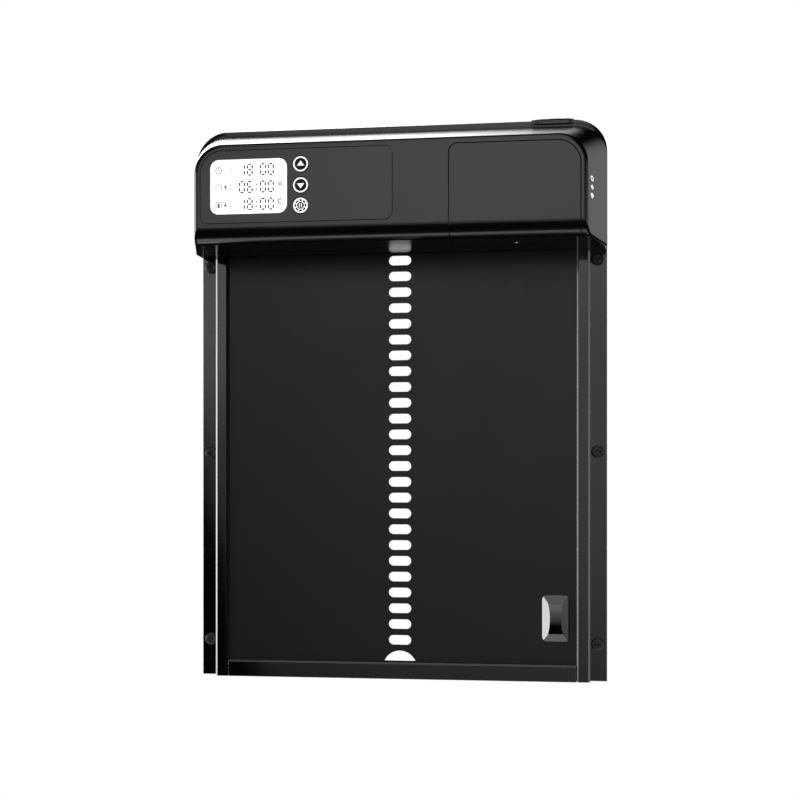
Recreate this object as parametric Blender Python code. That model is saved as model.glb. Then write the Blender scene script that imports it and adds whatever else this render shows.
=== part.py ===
"""Automatic coop door: a drive housing on two side rails, with a slotted metal door that slides in them.

All sizes are in millimetres and are scaled to metres where a mesh is made. X runs to the right, Y runs
back to the wall plane at zero, and heights are counted up from the bottom edge of the frame. The root
empty moves that edge down, so the origin ends up in the middle of the sill's back face.
"""

import math

import bmesh
import bpy
from mathutils import Vector

MM = 0.001

# Frame: two rails and a sill
FRAME_HALF_W = 135.0
RAIL_HEIGHT = 341.0
SHEET = 2.0
RAIL_FRONT_Y = -10.0
RAIL_INNER_X = 115.5
RAIL_WEB_X = 124.1
RAIL_WALL = 1.5
RAIL_CHAMFER = 1.4
EDGE_BREAK = (1.2, 0.7)
SILL_HEIGHT = 11.0
GAP = 0.3
SILL_HALF_W = RAIL_INNER_X - GAP
TONGUE_X = (SILL_HALF_W - 2.0, 122.2)
TONGUE_Y, TONGUE_Z = (-8.2, -2.3), (0.4, 6.4)
PLATE_BOTTOM = 283.0
LAP_X, LAP_STEP_X = (113.2, 121.8), (113.2, 115.0)
LAP_FRONT_Y, LAP_BACK_Y = -3.6, -2.3

# Frame screws: places, and the holes and sinks that take them as pairs of radius and level
FLANGE_SCREW_X, FLANGE_SCREW_Z = 128.8, (24.0, 149.0, 274.0)
FLANGE_HOLE = 2.3
HOUSING_SCREW_X, HOUSING_SCREW_Z = 129.6, (291.0, 334.0)
HOUSING_SINK = [(3.5, 0.5), (3.4, -0.3), (1.8, -1.7), (1.8, -3.0)]
TIE_SCREW_X, TIE_SCREW_Z = 118.6, (3.4, 330.0)
TIE_SINK = [(2.6, 0.5), (2.5, -0.3), (1.5, -1.4), (1.5, -3.0)]
TIE_HOLE = 1.5

# Door
DOOR_FRONT_Y, DOOR_BACK_Y = -7.0, -5.0
DOOR_HALF_W = 119.5
DOOR_BOTTOM, DOOR_TOP = 7.0, 337.0
SLOT_WIDTH, SLOT_HEIGHT, SLOT_PITCH = 14.9, 6.3, 10.41
FIRST_SLOT_Z = 25.38
SLOT_COUNT = 30
NOTCH_RADIUS = 11.3

# Handle
HANDLE_X, HANDLE_Z = 102.0, 41.05
HANDLE_W, HANDLE_H, HANDLE_CORNER = 17.4, 29.9, 3.0
END_FACET, SKIRT, SIDE_SLOPE = 4.6, 1.3, 0.891
CREASE = (3.65, 5.0, 8.5)
HANDLE_SCREWS = (HANDLE_Z - 7.5, HANDLE_Z + 7.5)
HANDLE_HOLE = 1.6

# Housing
FRONT_Y = -65.0
PARTING_FRONT_Y, PARTING_REAR_Y = -18.2, -17.0
UNDERSIDE_Z = 279.6
FRONT_HALF_W, FRONT_TOP_Z = 122.5, 340.6
PARTING_TOP_Z = 357.0
LIP_Y, LIP_Z, LIP_TOP_Z = -15.2, 361.4, 363.0
LOWER_CURVE = 10.0
TOP_CORNER, LIP_CORNER, LOW_CORNER = 18.0, 21.0, 1.8
EDGE_FILLET = 2.2
WALL, FRONT_WALL = 2.2, 2.6
CORNER_STEPS = 6
CASE_BACK_Y = -8.0
RAIL_CLEAR_Y = -10.4
EAR_X = 124.4
EAR_BACK_Y = -2.3

# Control panel
PANEL = (-118.5, 3.2, 291.5, 336.8)
PANEL_BACK_Y, RECESS_Y = -63.9, -63.6
DISPLAY = (-112.0, -63.4, 297.4, 331.0)
DISPLAY_MARGIN = 2.2
BUTTON_X = -54.3
BUTTON_Z = {"button_up": 327.1, "button_down": 314.0, "button_set": 301.3}
BUTTON_RADIUS, BUTTON_HOLE, STEM_RADIUS, STEM_HOLE = 5.0, 5.3, 2.2, 2.6
BOARD_FRONT_Y, BOARD_BACK_Y = -56.0, -54.4
BOARD_POSTS = ((-58.5, 333.6), (-58.5, 294.4), (-46.2, 333.6), (-46.2, 294.4))

# Battery bay
COVER = (38.4, 118.5, 270.0, 336.7)
COVER_SEAM = 0.45
COVER_BACK_Y = -33.0
CELL_RADIUS, CELL_PITCH, CELL_Y = 7.1, 15.5, -50.4
CELL_LOW, CELL_HIGH = 285.7, 334.9
BAY_X = 78.4
TRAY_HALF_W, TRAY_TOP = 37.2, 338.0
COVER_SCREW_Y = -38.0

# Drive
GEAR_TEETH = 8
PITCH_RADIUS = GEAR_TEETH * SLOT_PITCH / (2 * math.pi)
GEAR_Y = (DOOR_FRONT_Y + DOOR_BACK_Y) / 2 - PITCH_RADIUS
MESH_SLOT = 27
GEAR_Z = FIRST_SLOT_Z + MESH_SLOT * SLOT_PITCH
TIP_RADIUS, ROOT_RADIUS = 16.0, 9.4
GEAR_HALF_W = 6.0
SHAFT_RADIUS, SHAFT_BORE = 3.0, 3.3
HEAD_Y = -26.0
HEAD_RADIUS, CAN_RADIUS = 12.5, 12.2
STRAP_Z = (GEAR_Z - 18.7, GEAR_Z + 18.9)

# Charging port
PORT_X, PORT_Y = 102.0, -13.0

for old in list(bpy.data.objects):
    bpy.data.objects.remove(old, do_unlink=True)

root = bpy.data.objects.new("door_root", None)
bpy.context.collection.objects.link(root)
root.location.z = -SILL_HEIGHT / 2 * MM


# ---------------------------------------------------------------- finishes

def finish(name, colour, roughness, metallic=0.0):
    material = bpy.data.materials.new(name)
    material.use_nodes = True
    shader = material.node_tree.nodes["Principled BSDF"]
    shader.inputs["Base Color"].default_value = (*colour, 1.0)
    shader.inputs["Roughness"].default_value = roughness
    shader.inputs["Metallic"].default_value = metallic
    return material


CASE_BLACK = finish("case_plastic", (0.02, 0.02, 0.021), 0.35)
GLOSS_BLACK = finish("gloss_plastic", (0.012, 0.012, 0.012), 0.12)
DOOR_BLACK = finish("door_paint", (0.018, 0.018, 0.019), 0.42)
RAIL_BLACK = finish("rail_paint", (0.02, 0.02, 0.021), 0.25)
SCREW_BLACK = finish("black_steel", (0.05, 0.05, 0.05), 0.35, 1.0)
STEEL = finish("bright_steel", (0.6, 0.6, 0.6), 0.3, 1.0)
NYLON = finish("nylon", (0.55, 0.54, 0.5), 0.5)
RUBBER = finish("rubber", (0.03, 0.03, 0.03), 0.8)
DISPLAY_WHITE = finish("display_white", (0.85, 0.86, 0.85), 0.3)
BOARD_GREEN = finish("board_green", (0.02, 0.16, 0.07), 0.45)
CELL_SLEEVE = finish("cell_sleeve", (0.1, 0.12, 0.14), 0.35)
BRONZE = finish("bronze", (0.5, 0.33, 0.14), 0.35, 1.0)


# ---------------------------------------------------------------- shape helpers

def new_object(name, shape, origin=(0.0, 0.0, 0.0)):
    """An object from a bmesh in millimetres, with its own origin at the given place."""
    bmesh.ops.recalc_face_normals(shape, faces=shape.faces)
    for vertex in shape.verts:
        vertex.co = (vertex.co - Vector(origin)) * MM
    mesh = bpy.data.meshes.new(name)
    shape.to_mesh(mesh)
    shape.free()
    made = bpy.data.objects.new(name, mesh)
    bpy.context.collection.objects.link(made)
    made.parent = root
    made.location = Vector(origin) * MM
    return made


def part(name, shape, material, origin=(0.0, 0.0, 0.0), smooth_angle=35.0):
    made = new_object(name, shape, origin)
    made.data.materials.append(material)
    made.data.shade_smooth()
    made.data.set_sharp_from_angle(angle=math.radians(smooth_angle))
    return made


def boolean(target, shape, operation):
    """Cuts a helper shape from the target, joins it on, or keeps only what both fill."""
    helper = new_object(f"{target.name}_{operation.lower()}", shape)
    helper.hide_render = True
    helper.display_type = "WIRE"
    step = target.modifiers.new(operation.title(), "BOOLEAN")
    step.operation = operation
    step.solver = "EXACT"
    step.object = helper


def cut(target, shape):
    boolean(target, shape, "DIFFERENCE")


def join(target, shape):
    boolean(target, shape, "UNION")


def loft(rings):
    """Skins closed rings of equal length, one after the other, and caps both ends."""
    shape = bmesh.new()
    rows = [[shape.verts.new(point) for point in ring] for ring in rings]
    count = len(rows[0])
    for lower, upper in zip(rows, rows[1:]):
        for i in range(count):
            j = (i + 1) % count
            shape.faces.new((lower[i], lower[j], upper[j], upper[i]))
    shape.faces.new(rows[0])
    shape.faces.new(rows[-1])
    return shape


def lift(pair, axis, level):
    """A point from two coordinates in X, Y, Z order and the level on the third axis."""
    point = list(pair)
    point.insert("XYZ".index(axis), level)
    return point


def prism(outline, axis, low, high):
    return loft([[lift(pair, axis, level) for pair in outline] for level in (low, high)])


def block(x, y, z):
    return prism([(x[0], y[0]), (x[1], y[0]), (x[1], y[1]), (x[0], y[1])], "Z", *z)


def circle(centre, radius, sides=24):
    turn = 2 * math.pi / sides
    return [(centre[0] + radius * math.cos(i * turn), centre[1] + radius * math.sin(i * turn))
            for i in range(sides)]


def rod(axis, centre, radius, low, high, sides=24):
    return prism(circle(centre, radius, sides), axis, low, high)


def turned(axis, centre, profile, sides=20):
    """A solid of revolution from pairs of radius and level."""
    return loft([[lift(pair, axis, level) for pair in circle(centre, radius, sides)]
                 for radius, level in profile])


def rounded(x0, x1, z0, z1, radii, steps=6):
    """A rounded rectangle. Radii go lower left, lower right, upper right, upper left."""
    corners = ((x0, z0, 1, 1, 180), (x1, z0, -1, 1, 270), (x1, z1, -1, -1, 0), (x0, z1, 1, -1, 90))
    points = []
    for (x, z, sx, sz, start), radius in zip(corners, radii):
        for i in range(steps + 1):
            angle = math.radians(start + 90 * i / steps)
            points.append((x + sx * radius + radius * math.cos(angle),
                           z + sz * radius + radius * math.sin(angle)))
    return points


def grown(rect, by):
    return (rect[0] - by, rect[1] + by, rect[2] - by, rect[3] + by)


def screw(name, at, outward, head, shank, countersunk=False, sides=10, recess=False):
    """A screw along Y or Z. Its head is a (radius, height) pair, its shank a (radius, length) pair.

    The place is the middle of the seat under the head, or of the flat top of a countersunk head, and
    outward is +1 or -1 along the axis, the way the head faces.
    """
    axis = "Z" if name.startswith("battery") else "Y"
    k = "XYZ".index(axis)
    centre = [value for i, value in enumerate(at) if i != k]
    head_r, head_h = head
    shank_r, shank_l = shank
    if countersunk:
        steps = [(head_r, 0.0), (head_r, -0.2), (shank_r, -head_h), (shank_r, -shank_l)]
        top = 0.0
    else:
        steps = [(0.55 * head_r, head_h), (0.85 * head_r, 0.82 * head_h), (head_r, 0.45 * head_h),
                 (head_r, 0.0), (shank_r, 0.0), (shank_r, -shank_l)]
        top = head_h
    made = part(name, turned(axis, centre, [(r, at[k] + outward * h) for r, h in steps], sides), SCREW_BLACK)
    if not recess:
        return
    arm, half, depth = 0.55 * head_r, 0.12 * head_r + 0.12, 0.55 * head_h
    cross = [(arm, -half), (arm, half), (half, half), (half, arm), (-half, arm), (-half, half),
             (-arm, half), (-arm, -half), (-half, -half), (-half, -arm), (half, -arm), (half, -half)]
    outline = [(centre[0] + a, centre[1] + b) for a, b in cross]
    cut(made, prism(outline, axis, at[k] + outward * (top - depth), at[k] + outward * (top + 1.0)))


# ---------------------------------------------------------------- frame

def rail(name, side):
    """One folded rail: a flat mounting flange, and a channel for the door's edge in front of it."""
    inner, web, outer = RAIL_INNER_X, RAIL_WEB_X, FRAME_HALF_W
    section = [(inner, 0), (outer, 0), (outer, -SHEET + 0.4), (outer - 0.4, -SHEET), (web, -SHEET),
               (web, RAIL_FRONT_Y + RAIL_CHAMFER), (web - RAIL_CHAMFER, RAIL_FRONT_Y),
               (inner + EDGE_BREAK[0], RAIL_FRONT_Y), (inner, RAIL_FRONT_Y + EDGE_BREAK[1]),
               (inner, RAIL_FRONT_Y + RAIL_WALL),
               (web - RAIL_WALL, RAIL_FRONT_Y + RAIL_WALL), (web - RAIL_WALL, -SHEET), (inner, -SHEET)]
    made = part(name, prism([(side * x, y) for x, y in section], "Z", 0.0, RAIL_HEIGHT), RAIL_BLACK)
    for z in FLANGE_SCREW_Z:
        cut(made, rod("Y", (side * FLANGE_SCREW_X, z), FLANGE_HOLE, -4.0, 2.0, 12))
    for z in HOUSING_SCREW_Z:
        cut(made, turned("Y", (side * HOUSING_SCREW_X, z), HOUSING_SINK, 12))
    for z in TIE_SCREW_Z:
        cut(made, turned("Y", (side * TIE_SCREW_X, z), TIE_SINK, 10))


rail("rail_left", -1)
rail("rail_right", 1)

# The sill is a channel too. A tongue at each end fills the foot of the rail and takes a screw.
sill_section = [(0, 0), (0, SILL_HEIGHT), (-SHEET, SILL_HEIGHT), (-SHEET, SHEET),
                (RAIL_FRONT_Y + RAIL_WALL, SHEET), (RAIL_FRONT_Y + RAIL_WALL, SILL_HEIGHT),
                (RAIL_FRONT_Y + EDGE_BREAK[1], SILL_HEIGHT), (RAIL_FRONT_Y, SILL_HEIGHT - EDGE_BREAK[0]),
                (RAIL_FRONT_Y, 0)]
sill = part("sill", prism(sill_section, "X", -SILL_HALF_W, SILL_HALF_W), RAIL_BLACK)
for side in (-1, 1):
    join(sill, block(sorted(side * x for x in TONGUE_X), TONGUE_Y, TONGUE_Z))
    cut(sill, rod("Y", (side * TIE_SCREW_X, TIE_SCREW_Z[0]), TIE_HOLE, -7.0, -1.0, 12))

part("sill_bumper", block((-113.0, 113.0), TONGUE_Y, (SHEET + GAP, TONGUE_Z[1])), RUBBER)

# The back plate ties the rails together behind the housing. Its edges lap into the rails.
back_plate = part("back_plate", block((-SILL_HALF_W, SILL_HALF_W), (-SHEET, 0.0),
                                      (PLATE_BOTTOM, RAIL_HEIGHT)), RAIL_BLACK)
lap_z = (PLATE_BOTTOM + 1.0, RAIL_HEIGHT - 1.0)
for side in (-1, 1):
    join(back_plate, block(sorted(side * x for x in LAP_X), (LAP_FRONT_Y, LAP_BACK_Y), lap_z))
    join(back_plate, block(sorted(side * x for x in LAP_STEP_X), (LAP_FRONT_Y, -SHEET / 2), lap_z))
    cut(back_plate, rod("Y", (side * TIE_SCREW_X, TIE_SCREW_Z[1]), TIE_HOLE, -5.0, -1.0, 12))


def liner(name, side):
    """A nylon glide strip, bent to a channel, pushed into the rail. The door's edge runs in it."""
    section = [(115.9, -8.2), (122.3, -8.2), (122.3, -2.3), (115.9, -2.3), (115.9, -4.5), (120.2, -4.5),
               (120.2, -7.5), (115.9, -7.5)]
    part(name, prism([(side * x, y) for x, y in section], "Z", 7.0, 282.0), NYLON)


liner("glide_liner_left", -1)
liner("glide_liner_right", 1)

count = 0
for side in (-1, 1):
    for z in FLANGE_SCREW_Z:
        count += 1
        screw(f"rail_screw_{count}", (side * FLANGE_SCREW_X, -SHEET - 0.2, z), -1, (4.1, 1.7), (1.9, 2.0),
              sides=16, recess=True)
for i, side in enumerate((-1, 1)):
    screw(f"sill_screw_{i + 1}", (side * TIE_SCREW_X, -0.1, TIE_SCREW_Z[0]), 1, (2.2, 1.2), (1.15, 5.0),
          countersunk=True)
    screw(f"plate_screw_{i + 1}", (side * TIE_SCREW_X, -0.1, TIE_SCREW_Z[1]), 1, (2.2, 1.2), (1.15, 3.6),
          countersunk=True)


# ---------------------------------------------------------------- door

door = part("door_panel", block((-DOOR_HALF_W, DOOR_HALF_W), (DOOR_FRONT_Y, DOOR_BACK_Y),
                                (DOOR_BOTTOM, DOOR_TOP)), DOOR_BLACK)


def slot_outline(z):
    half = SLOT_HEIGHT / 2
    return rounded(-SLOT_WIDTH / 2, SLOT_WIDTH / 2, z - half, z + half, (half - 0.01,) * 4, 3)


slots = bmesh.new()
for k in range(SLOT_COUNT):
    one = prism(slot_outline(FIRST_SLOT_Z + k * SLOT_PITCH), "Y", -9.0, -3.0)
    copy = bpy.data.meshes.new("slot")
    bmesh.ops.recalc_face_normals(one, faces=one.faces)
    one.to_mesh(copy)
    slots.from_mesh(copy)
    one.free()
cut(door, slots)
cut(door, rod("Y", (0.0, DOOR_BOTTOM), NOTCH_RADIUS, -9.0, -3.0, 40))
for z in HANDLE_SCREWS:
    cut(door, rod("Y", (HANDLE_X, z), HANDLE_HOLE, -9.0, -3.0, 12))


def handle_ring(z):
    """A section across the handle at a distance z from its middle: a skirt, two planed sides, a flat top."""
    inner = HANDLE_H / 2 - END_FACET
    bow, out = min(1.0, abs(z) / inner), max(0.0, (abs(z) - inner) / END_FACET)
    crease = CREASE[0] + (CREASE[1] - CREASE[0]) * bow ** 2.2 + (CREASE[2] - CREASE[1]) * out
    rise = SKIRT + SIDE_SLOPE * (HANDLE_W / 2 - crease)
    into_corner = max(0.0, abs(z) - (HANDLE_H / 2 - HANDLE_CORNER))
    half = HANDLE_W / 2 - HANDLE_CORNER + math.sqrt(HANDLE_CORNER ** 2 - into_corner ** 2)
    side = min(SKIRT + SIDE_SLOPE * (HANDLE_W / 2 - half), rise)
    crease = min(crease, half - 0.05)
    section = [(half, 0.0), (half, side), (crease, rise), (-crease, rise), (-half, side), (-half, 0.0)]
    return [(HANDLE_X + x, DOOR_FRONT_Y - GAP - y, HANDLE_Z + z) for x, y in section]


bar_end = HANDLE_H / 2 - END_FACET
stations = [bar_end * i / 4 for i in range(-4, 5)]
stations += [side * (bar_end + END_FACET * share) for share in (0.45, 0.75, 0.93, 0.998) for side in (-1, 1)]
handle = part("door_handle", loft([handle_ring(z) for z in sorted(stations)]), GLOSS_BLACK)
for i, z in enumerate(HANDLE_SCREWS):
    cut(handle, rod("Y", (HANDLE_X, z), HANDLE_HOLE, -10.6, -6.0, 12))
    screw(f"handle_screw_{i + 1}", (HANDLE_X, DOOR_BACK_Y + GAP, z), 1, (2.7, 1.5), (1.25, 5.3), sides=12,
          recess=True)


# ---------------------------------------------------------------- housing

def case_ring(y, half_w, low, high, top_r, low_r):
    outline = rounded(-half_w, half_w, low, high, (low_r, low_r, top_r, top_r), CORNER_STEPS)
    return [(x, y, z) for x, z in outline]


def draft(y):
    """How far back the section lies, from 0 at the front face to 1 at the parting line."""
    return (y - FRONT_Y) / (PARTING_FRONT_Y - FRONT_Y)


def front_section(y, low, inset):
    t = draft(y)
    half_w = FRONT_HALF_W + t * (FRAME_HALF_W - FRONT_HALF_W) - inset
    high = FRONT_TOP_Z + t * (PARTING_TOP_Z - FRONT_TOP_Z) - inset
    top_r = TOP_CORNER + t * (LIP_CORNER - TOP_CORNER) - inset
    return case_ring(y, half_w, low, high, top_r, LOW_CORNER - min(inset, 1.0))


def front_skin(wall, front_wall, back_y):
    """The front case's outer form, or with a wall thickness the form of the hollow inside it."""
    rings = []
    steps = 6
    centre_y, centre_z = FRONT_Y + LOWER_CURVE, UNDERSIDE_Z + LOWER_CURVE
    for i in range(steps + 1):
        angle = math.pi / 2 * i / steps
        y = centre_y - (LOWER_CURVE - front_wall) * math.cos(angle)
        low = centre_z - (LOWER_CURVE - wall) * math.sin(angle)
        depth = max(0.0, EDGE_FILLET - (y - FRONT_Y))
        fillet = EDGE_FILLET - math.sqrt(EDGE_FILLET ** 2 - depth ** 2)
        rings.append(front_section(y, low, wall + fillet))
    rings.append(front_section(back_y, UNDERSIDE_Z + wall, wall))
    return loft(rings)


def cover_outline(by):
    return rounded(*grown(COVER, by), (1.0, 1.0, 14.0 + by, 5.0 + by), 6)


def case_wall(name, material):
    made = part(name, front_skin(0.0, 0.0, PARTING_FRONT_Y), material)
    cut(made, front_skin(WALL, FRONT_WALL, PARTING_FRONT_Y + 3.0))
    return made


front_case = case_wall("front_case", CASE_BLACK)
cut(front_case, prism(cover_outline(COVER_SEAM), "Y", -70.0, COVER_BACK_Y + GAP))
PANEL_RADII = (5.0, 5.0, 5.0, 14.0)
cut(front_case, prism(rounded(*grown(PANEL, GAP), [r + GAP for r in PANEL_RADII], 6), "Y", -70.0, RECESS_Y))
well = grown(DISPLAY, DISPLAY_MARGIN + GAP)
cut(front_case, prism(rounded(*well, (2.0,) * 4, 3), "Y", -66.0, -60.0))
for z in BUTTON_Z.values():
    cut(front_case, rod("Y", (BUTTON_X, z), STEM_HOLE, -66.0, -60.0, 12))
for x, z in BOARD_POSTS:
    join(front_case, turned("Y", (x, z), [(2.0, -62.7), (2.0, -56.3), (1.0, -56.2), (1.0, -53.6)], 12))

CASE_BOSSES = [(side * x, z) for x, z in ((100.0, 286.3), (70.0, 347.8)) for side in (-1, 1)]
for x, z in CASE_BOSSES:
    join(front_case, block((x - 4.5, x + 4.5), (-32.0, -18.3), (z - 4.8, z + 3.2)))
    cut(front_case, rod("Y", (x, z), 1.8, -30.0, -16.0, 12))


def rear_ring(y, high, inset=0.0):
    half_w, low, high = FRAME_HALF_W - inset, UNDERSIDE_Z + inset, high - inset
    return case_ring(y, half_w, low, high, LIP_CORNER - inset, LOW_CORNER - min(inset, 1.0))


rear_case = part("rear_case", loft([rear_ring(PARTING_REAR_Y, PARTING_TOP_Z), rear_ring(LIP_Y, LIP_Z),
                                    rear_ring(RAIL_FRONT_Y, LIP_TOP_Z), rear_ring(EAR_BACK_Y, LIP_TOP_Z)]),
                 CASE_BLACK)
cut(rear_case, loft([rear_ring(-19.0, PARTING_TOP_Z, WALL), rear_ring(PARTING_REAR_Y, PARTING_TOP_Z, WALL),
                     rear_ring(LIP_Y, LIP_Z, WALL), rear_ring(-12.4, LIP_TOP_Z, WALL + 0.8)]))
# Behind, the case steps back over the rails' channels and makes room for the door between them.
cut(rear_case, block((-EAR_X, EAR_X), (RAIL_CLEAR_Y, 0.0), (270.0, 370.0)))
join(rear_case, block((-114.8, 114.8), (RAIL_CLEAR_Y - 1.0, CASE_BACK_Y), (UNDERSIDE_Z + 2.0, 358.0)))
cut(rear_case, block((-112.0, 112.0), (-14.0, CASE_BACK_Y - WALL), (UNDERSIDE_Z + 5.0, 355.0)))
cut(rear_case, block((-8.4, 8.4), (-14.0, -6.0), (GEAR_Z - 14.9, GEAR_Z + 14.9)))
for x, z in CASE_BOSSES:
    join(rear_case, block((x - 4.5, x + 4.5), (-16.8, -9.0), (z - 4.3, z + 4.3)))
    cut(rear_case, turned("Y", (x, z), [(1.8, -18.0), (1.8, -11.2), (3.2, -11.1), (3.2, -7.0)], 12))
for side in (-1, 1):
    for z in HOUSING_SCREW_Z:
        cut(rear_case, rod("Y", (side * HOUSING_SCREW_X, z), 1.8, -10.0, 0.0, 12))
    pocket = sorted((side * 126.6, side * 132.6))
    cut(rear_case, block(pocket, (-14.0, -4.6), (298.0, 327.0)))
for z in STRAP_Z:
    cut(rear_case, rod("Y", (0.0, z), 1.6, -14.0, -6.0, 12))
cut(rear_case, block((PORT_X - 5.4, PORT_X + 5.4), (PORT_Y - 2.5, PORT_Y + 1.9), (352.0, 370.0)))

# The gasket lies between the two shells and follows their rims.
case_seal = part("case_seal", loft([rear_ring(y, PARTING_TOP_Z, 0.5) for y in (-17.9, -17.3)]), RUBBER)
cut(case_seal, loft([rear_ring(y, PARTING_TOP_Z, 2.2) for y in (-19.0, -16.0)]))

count = 0
for x, z in CASE_BOSSES:
    count += 1
    screw(f"case_screw_{count}", (x, -10.8, z), 1, (2.8, 1.7), (1.45, 17.0))
count = 0
for side in (-1, 1):
    for z in HOUSING_SCREW_Z:
        count += 1
        screw(f"housing_screw_{count}", (side * HOUSING_SCREW_X, -0.1, z), 1, (3.0, 1.5), (1.45, 9.0),
              countersunk=True)


# ---------------------------------------------------------------- control panel

control_panel = part("control_panel", prism(rounded(*PANEL, PANEL_RADII, 6), "Y", FRONT_Y, PANEL_BACK_Y),
                     GLOSS_BLACK)
cut(control_panel, prism(rounded(*grown(DISPLAY, GAP), (5.5,) * 4, 5), "Y", -66.0, -62.0))
for z in BUTTON_Z.values():
    cut(control_panel, rod("Y", (BUTTON_X, z), BUTTON_HOLE, -66.0, -62.0, 22))

display = part("display_module", prism(rounded(*DISPLAY, (5.3,) * 4, 5), "Y", -64.8, -63.0), DISPLAY_WHITE)
join(display, prism(rounded(*grown(DISPLAY, DISPLAY_MARGIN), (1.8,) * 4, 3), "Y", -63.6, -58.0))

for name, z in BUTTON_Z.items():
    profile = [(BUTTON_RADIUS - 0.3, -65.3), (BUTTON_RADIUS, -65.0), (BUTTON_RADIUS, -64.4),
               (STEM_RADIUS, -64.4), (STEM_RADIUS, -62.1), (3.4, -62.1), (3.4, -61.4), (STEM_RADIUS, -61.0),
               (STEM_RADIUS, -58.4)]
    part(name, turned("Y", (BUTTON_X, z), profile, 18), GLOSS_BLACK, origin=(BUTTON_X, FRONT_Y, z))

board = part("main_board", block((-112.0, -42.0), (BOARD_FRONT_Y, BOARD_BACK_Y), (291.0, 337.0)), BOARD_GREEN)
for z in BUTTON_Z.values():
    join(board, block((BUTTON_X - 2.4, BUTTON_X + 2.4), (-57.6, -55.6), (z - 2.4, z + 2.4)))
join(board, block((-98.0, -90.0), (-54.8, -53.2), (308.0, 316.0)))
join(board, block((-80.0, -68.0), (-54.8, -49.0), (296.0, 302.0)))
join(board, rod("Y", (-104.0, 326.0), 3.2, -54.8, -47.0, 12))
for x, z in BOARD_POSTS:
    cut(board, rod("Y", (x, z), 1.4, -60.0, -50.0, 12))


# ---------------------------------------------------------------- battery bay

battery_cover = case_wall("battery_cover", CASE_BLACK)
boolean(battery_cover, prism(cover_outline(0.0), "Y", -70.0, COVER_BACK_Y), "INTERSECT")
cut(battery_cover, rod("Z", (BAY_X, COVER_SCREW_Y), 1.6, 275.0, 290.0, 12))
cut(battery_cover, rod("Z", (BAY_X, COVER_SCREW_Y), 2.9, 275.0, 281.0, 16))
screw("battery_cover_screw", (BAY_X, COVER_SCREW_Y, 280.75), -1, (2.6, 1.1), (1.25, 8.0), sides=12,
      recess=True)

tray_side = [(-60.6, TRAY_TOP), (-60.6, 291.0), (-57.2, 284.6), (-55.0, 283.2), (-41.4, 283.2),
             (-41.4, TRAY_TOP)]
tray = part("battery_tray", prism(tray_side, "X", BAY_X - TRAY_HALF_W, BAY_X + TRAY_HALF_W), CASE_BLACK)
tray_face = rounded(BAY_X - TRAY_HALF_W, BAY_X + TRAY_HALF_W, 280.0, TRAY_TOP, (1.0, 1.0, 9.0, 1.0), 4)
boolean(tray, prism(tray_face, "Y", -70.0, -30.0), "INTERSECT")
bay_face = rounded(BAY_X - 33.4, BAY_X + 33.4, 284.9, 336.7, (0.5, 0.5, 5.0, 0.5), 4)
cut(tray, prism(bay_face, "Y", -64.0, -43.0))
join(tray, block((BAY_X - 4.5, BAY_X + 4.5), (-42.0, -34.2), (283.2, 292.0)))
cut(tray, rod("Z", (BAY_X, COVER_SCREW_Y), 1.7, 280.0, 290.4, 12))

seal_rect = (BAY_X - 36.6, BAY_X + 36.6, 291.5, 337.6)
seal_face = rounded(*seal_rect, (1.0, 1.0, 14.0, 1.0), 5)
cover_seal = part("battery_cover_seal", prism(seal_face, "Y", -62.1, -61.0), RUBBER)
cut(cover_seal, prism(rounded(*grown(seal_rect, -2.4), (1.0, 1.0, 11.6, 1.0), 5), "Y", -64.0, -60.0))

for i in range(4):
    centre = (BAY_X + (i - 1.5) * CELL_PITCH, CELL_Y)
    steps = [(CELL_RADIUS, CELL_LOW), (CELL_RADIUS, CELL_HIGH), (2.7, CELL_HIGH), (2.7, CELL_HIGH + 1.0)]
    if i % 2:
        steps = [(r, CELL_LOW + CELL_HIGH + 1.0 - level) for r, level in steps]
    part(f"battery_cell_{i + 1}", turned("Z", centre, steps, 24), CELL_SLEEVE)
for name, low in (("contact_plate_top", 336.1), ("contact_plate_bottom", 285.1)):
    part(name, block((BAY_X - 29.0, BAY_X + 29.0), (-56.5, -44.3), (low, low + 0.35)), STEEL)


# ---------------------------------------------------------------- drive

def gear_outline():
    tooth = [(9.2, -2.0), (13.6, -1.9), (15.5, -1.2), (TIP_RADIUS, -0.6), (TIP_RADIUS, 0.6), (15.5, 1.2),
             (13.6, 1.9), (9.2, 2.0)]
    points = []
    for i in range(GEAR_TEETH):
        angle = 2 * math.pi * i / GEAR_TEETH
        for out, across in tooth:
            points.append((GEAR_Y + out * math.cos(angle) - across * math.sin(angle),
                           GEAR_Z + out * math.sin(angle) + across * math.cos(angle)))
        middle = angle + math.pi / GEAR_TEETH
        points.append((GEAR_Y + ROOT_RADIUS * math.cos(middle), GEAR_Z + ROOT_RADIUS * math.sin(middle)))
    return points


gear_axis = (0.0, GEAR_Y, GEAR_Z)
gear = part("drive_gear", prism(gear_outline(), "X", -GEAR_HALF_W, GEAR_HALF_W), NYLON, origin=gear_axis)
cut(gear, rod("X", gear_axis[1:], SHAFT_BORE, -9.0, 9.0, 20))
part("drive_shaft", rod("X", gear_axis[1:], SHAFT_RADIUS, -15.7, 13.0, 20), STEEL, origin=gear_axis)

head_axis = (HEAD_Y, GEAR_Z)
gear_head = part("gear_head", rod("X", head_axis, HEAD_RADIUS, -34.0, -11.0, 28), STEEL)
cut(gear_head, rod("X", gear_axis[1:], SHAFT_BORE, -16.2, -8.0, 20))
part("motor_can", turned("X", head_axis, [(5.0, -68.0), (5.0, -66.0), (CAN_RADIUS, -66.0),
                                           (CAN_RADIUS, -34.3)], 28), STEEL)

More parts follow.
